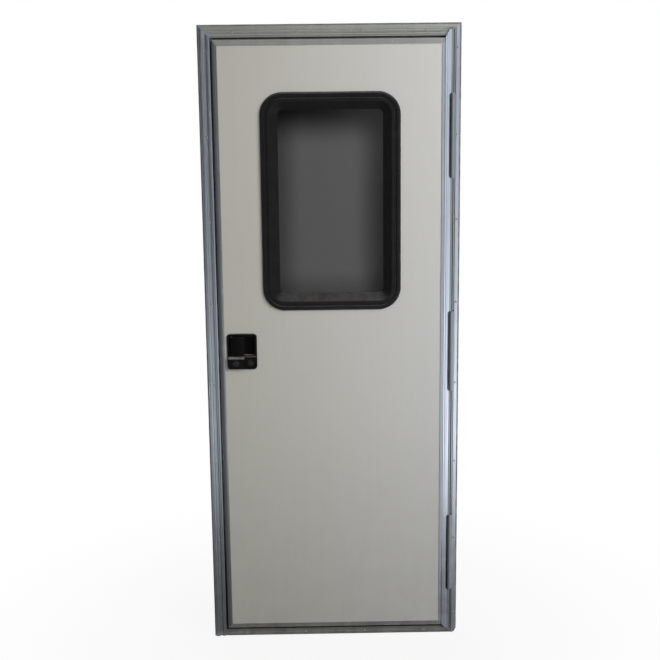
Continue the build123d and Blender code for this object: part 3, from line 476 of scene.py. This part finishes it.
def make_tinted_glass():
    """Dark tinted pane with faint smears, and painted shade that darkens it towards its edges, most towards
    its upper edge and its hinge side.
    """
    material, tree, shader, place = new_finish("tinted_glass", Transmission_Weight=1.0, IOR=1.46)
    low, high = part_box("window_glass")
    at = along_axes(tree, place)

    def unshaded_from(edge, inwards, along, edge_shade):
        """How much of the pane the painted shade leaves clear, inwards from an edge."""
        start, deepest, unshaded = edge_shade
        return between(tree, along, edge + inwards * start, edge + inwards * deepest, first=1.0, last=unshaded)

    unshaded = product(
        tree,
        unshaded_from(high[0], -1, at["X"], HINGE_SIDE_SHADE), unshaded_from(low[0], 1, at["X"], LATCH_SIDE_SHADE),
        unshaded_from(high[2], -1, at["Z"], UPPER_SHADE), unshaded_from(low[2], 1, at["Z"], LOWER_SHADE))
    wiped = cloudy(tree, stretched(tree, place, SMEAR_STRETCH, SMEAR_DEGREES), scale=1.0, detail=4.0)
    smears = between(tree, wiped, 0.4, 0.75)
    # Painted shade near the frame over the pane's own tint.
    smoke_and_shade = tinted(tree, unshaded, SHADED_SMOKE, CLEAR_SMOKE)
    smeared = tinted(tree, part_of(tree, smears, 0.08), smoke_and_shade, SMEARED_SMOKE)
    dress(tree, shader, smeared, ranged(tree, smears, 0.015, 0.09))
    return material


def make_rubber():
    """Soft black rubber, a little dusty."""
    material, tree, shader, place = new_finish("rubber")
    settled_and_painted_light = effect(tree, dust_and_top_highlight, {"Place": place})["Mask"]
    pores = cloudy(tree, place, scale=900.0, detail=2.0, roughness=0.5)
    skin = tinted(tree, pores, DARK_RUBBER, PALER_RUBBER)
    dusted_and_highlit = tinted(tree, part_of(tree, settled_and_painted_light, 0.3), skin, DUSTY_RUBBER)
    dress(tree, shader, dusted_and_highlit, between(tree, pores, 0.3, 0.7, first=0.62, last=0.78))
    bumped(tree, shader, pores, strength=0.1, distance=0.0003)
    return material


def make_steel():
    """Zinc-plated steel, lightly brushed along its length, with painted shade in its inner corners."""
    material, tree, shader, place = new_finish("steel", Metallic=1.0)
    lines = effect(tree, die_lines, {"Place": stretched(tree, place, BRUSHED_STRETCH)})
    marks = effect(tree, scuffs, {"Place": place})["Mask"]
    edge_and_corner_masks = effect(tree, edges_and_corner_shade, {"Place": place, "Edge": 0.0006, "Corner": 0.0015})
    plated = tinted(tree, lines["Bands"], DULL_ZINC, BRIGHT_ZINC)
    marked = tinted(tree, marks, plated, SCRATCHED_ZINC)
    # Painted shade in inner corners.
    corner_shaded = tinted(tree, part_of(tree, edge_and_corner_masks["Corners"], 0.7), marked, CORNER_SHADE_ZINC)
    dress(tree, shader, corner_shaded, ranged(tree, lines["Lines"], 0.28, 0.44))
    bumped(tree, shader, lines["Lines"], strength=0.08, distance=0.0003)
    return material


def make_lock_metal():
    """Black-plated metal of the lock cylinders, worn through in places, with its edges lighter as painted
    highlights too.
    """
    material, tree, shader, place = new_finish("lock_metal", Metallic=1.0)
    grain = effect(tree, moulded_grain, {"Place": place})
    marks = effect(tree, scuffs, {"Place": place})["Mask"]
    edge_and_corner_masks = effect(tree, edges_and_corner_shade, {"Place": place, "Edge": 0.0008, "Corner": 0.002})
    plated = tinted(tree, grain["Rubbed"], BLACK_PLATING, THIN_PLATING)
    marked = tinted(tree, marks, plated, SCRATCHED_PLATING)
    # Outer edges lighter: worn, and painted as edge highlights.
    worn_and_highlit = tinted(tree, part_of(tree, edge_and_corner_masks["Edges"], 0.6), marked, WORN_AND_LIT_PLATING)
    dress(tree, shader, worn_and_highlit, ranged(tree, grain["Rubbed"], 0.38, 0.26))
    bumped(tree, shader, grain["Height"], strength=0.03, distance=0.0002)
    return material


def make_foam():
    """Pale closed-cell foam."""
    material, tree, shader, place = new_finish("foam")
    cells = add(tree, "ShaderNodeTexVoronoi", {"Vector": place, "Scale": 700.0}).outputs["Distance"]
    dress(tree, shader, tinted(tree, cells, SHADED_FOAM, PALE_FOAM), ranged(tree, cells, 0.85, 0.7))
    bumped(tree, shader, cells, strength=0.3, distance=0.0005)
    return material


# The tints given here carry painted light: shade on the latch side and a bluish reflection on the hinge side.
latch_jamb_aluminium = make_mill_aluminium("latch_jamb_aluminium", UPRIGHT_LINES, LATCH_JAMB_SHADED_TINTS)
hinge_jamb_aluminium = make_mill_aluminium(
    "hinge_jamb_aluminium", UPRIGHT_LINES, HINGE_JAMB_LIT_TINTS, joints=HINGE_JAMB_GAP_SHADE)
latch_stile_aluminium = make_mill_aluminium(
    "latch_stile_aluminium", UPRIGHT_LINES, LATCH_STILE_SHADED_TINTS, joints=LATCH_STILE_GAP_SHADE)
hinge_stile_aluminium = make_mill_aluminium(
    "hinge_stile_aluminium", UPRIGHT_LINES, HINGE_STILE_LIT_TINTS, joints=HINGE_STILE_GAP_SHADE)
crossbar_aluminium = make_mill_aluminium(
    "crossbar_aluminium", LEVEL_LINES, CROSSBAR_TINTS, smooth=CROSSBAR_ROUGHNESS)
steel = make_steel()
rubber = make_rubber()
# Each plastic's dust colour is also a painted highlight on its ledges, and its edge share also sets its
# painted edge highlights.
window_plastic = make_black_plastic("window_plastic", gloss=0.18, worn_and_highlit=0.45, dust_and_highlight=WINDOW_DUST_HIGHLIGHT)
latch_plastic = make_black_plastic("latch_plastic", gloss=0.04, worn_and_highlit=0.15, dust_and_highlight=LATCH_DUST_HIGHLIGHT)
paddle_plastic = make_black_plastic("paddle_plastic", gloss=0.04, worn_and_highlit=1.0, dust_and_highlight=PADDLE_DUST_HIGHLIGHT)
tinted_glass = make_tinted_glass()
lock_metal = make_lock_metal()

FINISH_OF = {
    latch_jamb_aluminium: ["latch_jamb"],
    hinge_jamb_aluminium: ["hinge_jamb"],
    latch_stile_aluminium: ["leaf_latch_stile"],
    hinge_stile_aluminium: ["leaf_hinge_stile"],
    crossbar_aluminium: ["head_jamb", "sill_jamb", "leaf_top_rail", "leaf_bottom_rail"],
    steel: ["hinge_pin", "strike_plate", "paddle_pin", "latch_edge_plate", "latch_bolt", "deadbolt"],
    rubber: ["weather_seal", "window_gasket"],
    make_outer_fibreglass(): ["outer_skin"],
    make_inner_panel(): ["inner_skin"],
    make_foam(): ["foam_core"],
    window_plastic: [
        "window_outer_frame", "window_inner_frame", "inner_latch_plate", "inner_lever", "deadbolt_knob"],
    latch_plastic: ["latch_housing"],
    paddle_plastic: ["pull_paddle"],
    tinted_glass: ["window_glass"],
    lock_metal: ["key_cylinder", "deadbolt_cylinder"],
}
for material, names in FINISH_OF.items():
    for name in names:
        door[name].material_slots[0].material = material


# Modelling
def spread(first, last, count):
    """Evenly spaced places from the first to the last."""
    return [first + step * (last - first) / (count - 1) for step in range(count)]


# Rolled front of the latch side's flange: where each slope begins and ends, and how far it rises
LATCH_JAMB_ROLLS = [
    (-0.3820, -0.3715, 0.0011), (-0.3715, -0.3590, -0.0013),
    (-0.3590, -0.3515, 0.0010), (-0.3515, -0.3460, -0.0004)]
ROLL_STEP = 0.0015
ROLL_SMOOTHING = math.radians(30.0)
FLANGE_MIDDLE = -0.001
MERGE_DISTANCE = 0.00001

# Screws: head radius, head height and shank length of each kind, and how far apart their slots are turned
FLANGE_SCREW = (0.0034, 0.0020, 0.0018)
RING_SCREW = (0.0034, 0.0018, 0.0015)
PLATE_SCREW = (0.0026, 0.0014, 0.0015)
EDGE_SCREW = (0.0032, 0.0007, 0.0012)
SLOT_TURN_DEGREES = 37.0

# A screw's shape, as shares of its head's height or radius
DOME_SHARE = 0.75
SLOT_DEPTH_SHARE = 1.2
SHANK_INSET_SHARE = 0.4
SLOT_LENGTH_SHARE = 1.15
SLOT_WIDTH_SHARE = 0.22
FASTENER_SMOOTHING = math.radians(35.0)

# Which way screws face, as a turn in degrees from the front, and their places
TO_FRONT = 0.0
TO_BACK = 180.0
TO_LATCH_SIDE = -90.0
TO_HINGE_SIDE = 90.0
FLANGE_FRONT = -0.002
HINGE_RIDGE_FRONT = -0.005
LATCH_COLUMN = -0.361
HINGE_COLUMN = 0.372
HEAD_ROW = 1.8485
SILL_ROW = 0.0
SIDE_ROWS = spread(0.0595, 1.7995, 8)
CROSS_COLUMNS = spread(-0.28, 0.28, 4)
RING_SCREW_INSET = 0.0235
RING_SCREW_RISES = (-0.21, -0.07, 0.07, 0.21)
RING_SCREW_COLUMNS = (-0.095, 0.0, 0.095)
PLATE_SCREW_INSET = 0.0065
EDGE_SCREW_INSET = 0.008

# Lock plug: its face, the step inside its rim, and its keyway with a ward at one side
PLUG_RADIUS = 0.0068
PLUG_HEIGHT = 0.0009
PLUG_SIDES = 40
PLUG_ROUNDING = 0.0003
RIM_WIDTH = 0.0011
RIM_STEP = 0.0003
KEYWAY_SIZE = (0.0018, 0.004, 0.009)
WARD_SIZE = (0.0030, 0.004, 0.0016)
WARD_PLACE = (0.0006, 0.0, 0.0022)


def only(piece):
    """The piece alone, selected and active."""
    bpy.ops.object.select_all(action="DESELECT")
    piece.select_set(True)
    bpy.context.view_layer.objects.active = piece


def pick_faces(piece, wanted):
    """In edit mode, the faces that pass a test are selected and no others."""
    bpy.ops.mesh.select_mode(type="FACE")
    bpy.ops.mesh.select_all(action="DESELECT")
    shape = bmesh.from_edit_mesh(piece.data)
    for face in shape.faces:
        face.select_set(wanted(face))
    bmesh.update_edit_mesh(piece.data)


def pick_points(piece, wanted):
    """In edit mode, the points that pass a test are selected and no others."""
    bpy.ops.mesh.select_mode(type="VERT")
    bpy.ops.mesh.select_all(action="DESELECT")
    shape = bmesh.from_edit_mesh(piece.data)
    for point in shape.verts:
        point.select_set(wanted(point))
    bmesh.update_edit_mesh(piece.data)


def faces_front(face):
    """Whether a face looks to the front."""
    return face.normal.y < -0.99


def faces_back(face):
    """Whether a face looks to the back."""
    return face.normal.y > 0.99


def rise_at(place):
    """How far the rolled flange stands out at a place across it."""
    height = 0.0
    for start, end, rise in LATCH_JAMB_ROLLS:
        share = min(max((place - start) / (end - start), 0.0), 1.0)
        height += rise * share * share * (3.0 - 2.0 * share)
    return height


def roll_latch_jamb():
    """Latch side of the jamb, with the front of its flange rolled in shallow waves."""
    jamb = bpy.data.objects.new("rolled_latch_jamb", door["latch_jamb"].data.copy())
    bpy.context.collection.objects.link(jamb)
    only(jamb)
    bpy.ops.mesh.customdata_custom_splitnormals_clear()
    bpy.ops.object.mode_set(mode="EDIT")
    bpy.ops.mesh.select_all(action="SELECT")
    bpy.ops.mesh.remove_doubles(threshold=MERGE_DISTANCE)
    edge = LATCH_JAMB_ROLLS[0][0]
    strips = round((LATCH_JAMB_ROLLS[-1][1] - edge) / ROLL_STEP)
    for count in range(1, strips):
        bpy.ops.mesh.select_all(action="SELECT")
        bpy.ops.mesh.bisect(plane_co=(edge + count * ROLL_STEP, 0.0, 0.0), plane_no=(1.0, 0.0, 0.0))
    for count in range(strips + 1):
        low = edge + (count - 0.5) * ROLL_STEP
        pick_points(jamb, lambda point: low < point.co.x <= low + ROLL_STEP and point.co.y < FLANGE_MIDDLE)
        bpy.ops.transform.translate(value=(0.0, -rise_at(low + ROLL_STEP / 2), 0.0))
    bpy.ops.object.mode_set(mode="OBJECT")
    bpy.ops.object.shade_smooth_by_angle(angle=ROLL_SMOOTHING)
    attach(jamb, "jamb")
    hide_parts("latch_jamb")


def new_disc(radius, height, sides=28):
    """Short cylinder that stands out from the plane y = 0 towards the front."""
    bpy.ops.object.select_all(action="DESELECT")
    bpy.ops.mesh.primitive_cylinder_add(
        vertices=sides, radius=radius, depth=height,
        location=(0.0, -height / 2, 0.0), rotation=(math.pi / 2, 0.0, 0.0))
    bpy.ops.object.transform_apply(location=True, rotation=True, scale=True)
    return bpy.context.object


def cut_slot(piece, size, place):
    """Box-shaped slot cut out of a piece."""
    bpy.ops.object.select_all(action="DESELECT")
    bpy.ops.mesh.primitive_cube_add(size=1.0, location=place, scale=size)
    bpy.ops.object.transform_apply(location=True, rotation=True, scale=True)
    cutter = bpy.context.object
    cut = piece.modifiers.new("slot", "BOOLEAN")
    cut.operation = "DIFFERENCE"
    cut.object = cutter
    cut.solver = "EXACT"
    only(piece)
    bpy.ops.object.modifier_apply(modifier=cut.name)
    bpy.data.objects.remove(cutter)


def model_screw(radius, height, shank):
    """Screw with a domed head and a cross slot, seated on the plane y = 0 and facing the front."""
    screw = new_disc(radius, height)
    bpy.ops.object.mode_set(mode="EDIT")
    pick_faces(screw, faces_front)
    bpy.ops.mesh.bevel(offset=DOME_SHARE * height, segments=4, affect="EDGES")
    pick_faces(screw, faces_back)
    bpy.ops.mesh.inset(thickness=SHANK_INSET_SHARE * radius)
    bpy.ops.mesh.extrude_region_move(TRANSFORM_OT_translate={"value": (0.0, shank, 0.0)})
    bpy.ops.object.mode_set(mode="OBJECT")
    deep = SLOT_DEPTH_SHARE * height
    long = SLOT_LENGTH_SHARE * radius
    wide = SLOT_WIDTH_SHARE * radius
    cut_slot(screw, (long, deep, wide), (0.0, -height, 0.0))
    cut_slot(screw, (wide, deep, long), (0.0, -height, 0.0))
    return screw


def set_screws(name, kind, seats, facing_degrees, body):
    """Screws of one kind at their seats, turned to face away from the surface and joined as one piece."""
    first = model_screw(*kind)
    copies = []
    for count, seat in enumerate(seats):
        copy = first.copy()
        copy.data = first.data.copy()
        bpy.context.collection.objects.link(copy)
        only(copy)
        copy.rotation_euler = (0.0, math.radians(SLOT_TURN_DEGREES * count), 0.0)
        bpy.ops.object.transform_apply(location=False, rotation=True, scale=False)
        copy.rotation_euler = (0.0, 0.0, math.radians(facing_degrees))
        copy.location = seat
        bpy.ops.object.transform_apply(location=True, rotation=True, scale=False)
        copies.append(copy)
    bpy.data.objects.remove(first)
    for copy in copies:
        copy.select_set(True)
    bpy.ops.object.join()
    screws = bpy.context.object
    screws.name = name
    bpy.ops.object.shade_smooth_by_angle(angle=FASTENER_SMOOTHING)
    screws.data.materials.append(steel)
    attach(screws, body)


def set_lock_plug(name, cylinder):
    """Plug that turns in a lock cylinder, with a stepped face and a keyway."""
    low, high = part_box(cylinder)
    plug = new_disc(PLUG_RADIUS, PLUG_HEIGHT, PLUG_SIDES)
    bpy.ops.object.mode_set(mode="EDIT")
    pick_faces(plug, faces_front)
    bpy.ops.mesh.bevel(offset=PLUG_ROUNDING, segments=2, affect="EDGES")
    pick_faces(plug, faces_front)
    bpy.ops.mesh.inset(thickness=RIM_WIDTH)
    bpy.ops.mesh.extrude_region_move(TRANSFORM_OT_translate={"value": (0.0, RIM_STEP, 0.0)})
    bpy.ops.object.mode_set(mode="OBJECT")
    cut_slot(plug, KEYWAY_SIZE, (0.0, 0.0, 0.0))
    cut_slot(plug, WARD_SIZE, WARD_PLACE)
    only(plug)
    plug.name = name
    plug.location = ((low[0] + high[0]) / 2, low[1], (low[2] + high[2]) / 2)
    bpy.ops.object.transform_apply(location=True, rotation=False, scale=False)
    bpy.ops.object.shade_smooth_by_angle(angle=FASTENER_SMOOTHING)
    plug.data.materials.append(lock_metal)
    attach(plug, "leaf")


def fit_flange_screws():
    """Screws through the jamb's flange on all four sides."""
    seats = [(LATCH_COLUMN, FLANGE_FRONT, row) for row in SIDE_ROWS]
    seats += [(HINGE_COLUMN, HINGE_RIDGE_FRONT, row) for row in SIDE_ROWS]
    seats += [(column, FLANGE_FRONT, HEAD_ROW) for column in CROSS_COLUMNS]
    seats += [(column, FLANGE_FRONT, SILL_ROW) for column in CROSS_COLUMNS]
    set_screws("flange_screws", FLANGE_SCREW, seats, TO_FRONT, "jamb")


def fit_window_screws():
    """Screws round the window's inner ring."""
    low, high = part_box("window_inner_frame")
    middle = (low[2] + high[2]) / 2
    columns = (low[0] + RING_SCREW_INSET, high[0] - RING_SCREW_INSET)
    rows = (low[2] + RING_SCREW_INSET, high[2] - RING_SCREW_INSET)
    seats = [(column, high[1], middle + rise) for column in columns for rise in RING_SCREW_RISES]
    seats += [(column, high[1], row) for row in rows for column in RING_SCREW_COLUMNS]
    set_screws("window_ring_screws", RING_SCREW, seats, TO_BACK, "leaf")


def fit_latch_screws():
    """Screws in the latch's inner plate, its edge plate and the strike plate."""
    low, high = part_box("inner_latch_plate")
    columns = (low[0] + PLATE_SCREW_INSET, high[0] - PLATE_SCREW_INSET)
    rows = (low[2] + PLATE_SCREW_INSET, high[2] - PLATE_SCREW_INSET)
    corners = [(column, high[1], row) for column in columns for row in rows]
    set_screws("inner_plate_screws", PLATE_SCREW, corners, TO_BACK, "leaf")
    low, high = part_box("latch_edge_plate")
    rows = (low[2] + EDGE_SCREW_INSET, high[2] - EDGE_SCREW_INSET)
    ends = [(low[0], (low[1] + high[1]) / 2, row) for row in rows]
    set_screws("edge_plate_screws", EDGE_SCREW, ends, TO_LATCH_SIDE, "leaf")
    low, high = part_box("strike_plate")
    rows = (low[2] + EDGE_SCREW_INSET, high[2] - EDGE_SCREW_INSET)
    ends = [(high[0], (low[1] + high[1]) / 2, row) for row in rows]
    set_screws("strike_plate_screws", EDGE_SCREW, ends, TO_HINGE_SIDE, "jamb")


roll_latch_jamb()
fit_flange_screws()
fit_window_screws()
fit_latch_screws()
set_lock_plug("key_plug", "key_cylinder")
set_lock_plug("deadbolt_plug", "deadbolt_cylinder")


# Studio: pale floor, white surroundings, soft lamps, and a screen and a mat for the metal to reflect
WHITE = (1.0, 1.0, 1.0, 1.0)
FILL = 0.2
FLOOR_HEIGHT = cad_box[0][2]
FLOOR_REACH = 14.0
FLOOR_FADE = (0.2, 1.5)
FLOOR_WHITENESS = 0.9
FLOOR_ROUGHNESS = 0.9
FLOOR_COLOUR = (0.5, 0.5, 0.5, 1.0)
KEY_PLACE = (1.75, -2.0, 2.3)
KEY_AIM = (0.0, 0.0, 1.4)
KEY_SIZE = 1.5
KEY_WATTS = 66.0
BACK_PLACE = (-1.6, 2.9, 3.2)
BACK_SIZE = 1.8
BACK_WATTS = 60.0

# Screen behind the camera and mat before the door; a ramp is where it starts and ends, and its value at both
CARD_COLOUR = (0.95, 0.975, 1.0, 1.0)
SCREEN_RADIUS = 5.5
SCREEN_HEIGHT = 8.0
SCREEN_SIDES = 96
SCREEN_BACK = 0.5
SCREEN_DIM = 0.03
SCREEN_BRIGHT = 1.1
SCREEN_RIGHT = 0.3
SCREEN_LEFT = 0.45
SCREEN_RISE_DEGREES = (-4.0, 19.0)
SCREEN_FALL_DEGREES = (28.0, 75.0)
SCREEN_LEFT_DEGREES = (-28.0, -60.0)
SCREEN_UPWARD_RAMP = (0.2, 2.2, 0.55, 1.8)
SCREEN_OVERHEAD_RAMP = (2.2, 3.2, 1.0, 0.45)
MAT_GAP = 0.02
MAT_RISE = 0.002
MAT_AWAY_RAMP = (-2.2, -0.4, 0.85, 0.15)
MAT_FAR_END_RAMP = (-5.4, -4.2, 0.3, 1.0)
MAT_ACROSS_RAMP = (-0.4, 0.6, 1.15, 3.0)

# Camera: found from the door's corners, edges, window and latch in the photograph
LENS = 62.727
SENSOR = 36.0
EYE = (-0.0507, -3.4158, 1.6199)
GAZE_DEGREES = (79.2601, 0.6218, -0.845)


def seen_directly(tree):
    """One for rays from the camera, a reflection or the glass, and nought for light on a surface."""
    rays = tree.nodes.new("ShaderNodeLightPath").outputs
    reflected = maths(tree, "MAXIMUM", rays["Is Glossy Ray"], rays["Is Transmission Ray"])
    return maths(tree, "MAXIMUM", rays["Is Camera Ray"], reflected)


def set_surroundings():
    """White all round, with a weaker fill on the surfaces."""
    world = bpy.data.worlds.new("white_surroundings")
    bpy.context.scene.world = world
    world.use_nodes = True
    tree = world.node_tree
    background = tree.nodes["Background"].inputs
    background["Color"].default_value = WHITE
    tree.links.new(ranged(tree, seen_directly(tree), FILL, 1.0), background["Strength"])


def lay_floor():
    """Pale floor that shows the door's shadow and turns white away from it."""
    bpy.ops.object.select_all(action="DESELECT")
    bpy.ops.mesh.primitive_plane_add(size=2 * FLOOR_REACH, location=(0.0, 0.0, FLOOR_HEIGHT))
    floor = bpy.context.object
    floor.name = "floor"
    material, tree, shader, place = new_finish(
        "pale_floor", Roughness=FLOOR_ROUGHNESS, Base_Color=FLOOR_COLOUR)
    away = add(tree, "ShaderNodeVectorMath", {0: place}, operation="LENGTH").outputs["Value"]
    white = between(tree, away, *FLOOR_FADE, first=FLOOR_WHITENESS)
    glow = add(tree, "ShaderNodeEmission", {"Color": WHITE, "Strength": 1.0})
    share = product(tree, white, seen_directly(tree))
    mixed = add(tree, "ShaderNodeMixShader", {0: share, 1: shader.outputs[0], 2: glow.outputs[0]})
    tree.links.new(mixed.outputs[0], tree.nodes["Material Output"].inputs["Surface"])
    floor.data.materials.append(material)


def only_reflected(card, name):
    """Stage card that shows in reflections alone: its node tree, its glow's strength and the place on it."""
    card.name = name
    card.visible_camera = False
    card.visible_diffuse = False
    card.visible_transmission = False
    card.visible_shadow = False
    material, tree, shader, place = new_finish(name)
    glow = add(tree, "ShaderNodeEmission", {"Color": CARD_COLOUR})
    tree.links.new(glow.outputs[0], tree.nodes["Material Output"].inputs["Surface"])
    card.data.materials.append(material)
    return tree, glow.inputs["Strength"], along_axes(tree, place)


def hang_screen():
    """Curved screen behind the camera, dim left of the middle, bright right of it and grey at the far left."""
    bpy.ops.object.select_all(action="DESELECT")
    bpy.ops.mesh.primitive_cylinder_add(
        vertices=SCREEN_SIDES, radius=SCREEN_RADIUS, depth=SCREEN_HEIGHT, end_fill_type="NOTHING",
        location=(0.0, 0.0, FLOOR_HEIGHT + SCREEN_HEIGHT / 2))
    bpy.ops.object.transform_apply(location=True, rotation=True, scale=True)
    screen = bpy.context.object
    bpy.ops.object.mode_set(mode="EDIT")
    pick_faces(screen, lambda face: face.calc_center_median().y > SCREEN_BACK)
    bpy.ops.mesh.delete(type="FACE")
    bpy.ops.object.mode_set(mode="OBJECT")
    tree, strength, at = only_reflected(screen, "grey_screen")
    angle = maths(tree, "ARCTAN2", at["X"], maths(tree, "MULTIPLY", at["Y"], -1.0))
    rise = between(tree, angle, *in_radians(SCREEN_RISE_DEGREES), first=SCREEN_DIM, last=SCREEN_BRIGHT)
    fall = between(tree, angle, *in_radians(SCREEN_FALL_DEGREES), first=1.0, last=SCREEN_RIGHT)
    upward = between(tree, at["Z"], *SCREEN_UPWARD_RAMP)
    overhead = between(tree, at["Z"], *SCREEN_OVERHEAD_RAMP)
    far_left = between(tree, angle, *in_radians(SCREEN_LEFT_DEGREES), last=SCREEN_LEFT)
    tree.links.new(maths(tree, "ADD", product(tree, rise, fall, upward, overhead), far_left), strength)


def lay_mat():
    """Mat on the floor before the door, dark at the sill and brighter away from it and to the right."""
    bpy.ops.object.select_all(action="DESELECT")
    deep = SCREEN_RADIUS - MAT_GAP
    bpy.ops.mesh.primitive_plane_add(size=1.0, location=(0.0, -MAT_GAP - deep / 2, FLOOR_HEIGHT + MAT_RISE))
    mat = bpy.context.object
    mat.scale = (2 * SCREEN_RADIUS, deep, 1.0)
    bpy.ops.object.transform_apply(location=True, rotation=True, scale=True)
    tree, strength, at = only_reflected(mat, "dark_mat")
    away = between(tree, at["Y"], *MAT_AWAY_RAMP)
    far_end = between(tree, at["Y"], *MAT_FAR_END_RAMP)
    across = between(tree, at["X"], *MAT_ACROSS_RAMP)
    tree.links.new(product(tree, away, far_end, across), strength)


def hang_light(name, place, aim, size, watts):
    """Square soft light that faces a point, as its object."""
    lamp = bpy.data.lights.new(name, "AREA")
    lamp.size = size
    lamp.energy = watts
    light = bpy.data.objects.new(name, lamp)
    light.location = place
    across, deep, up = [there - here for here, there in zip(place, aim)]
    tilt = math.atan2(math.hypot(across, deep), -up)
    light.rotation_euler = (tilt, 0.0, math.atan2(deep, across) - math.pi / 2)
    bpy.context.collection.objects.link(light)
    return light


def place_camera():
    """Camera at the photograph's viewpoint."""
    lens = bpy.data.cameras.new("photograph_view")
    lens.lens = LENS
    lens.sensor_width = SENSOR
    camera = bpy.data.objects.new("photograph_view", lens)
    camera.location = EYE
    camera.rotation_euler = in_radians(GAZE_DEGREES)
    bpy.context.collection.objects.link(camera)
    bpy.context.scene.camera = camera


set_surroundings()
lay_floor()
hang_screen()
lay_mat()
key_light = hang_light("key_light", KEY_PLACE, KEY_AIM, KEY_SIZE, KEY_WATTS)
key_light.visible_glossy = False
hang_light("back_light", BACK_PLACE, KEY_AIM, BACK_SIZE, BACK_WATTS)
place_camera()
bpy.context.scene.view_settings.view_transform = "Standard"
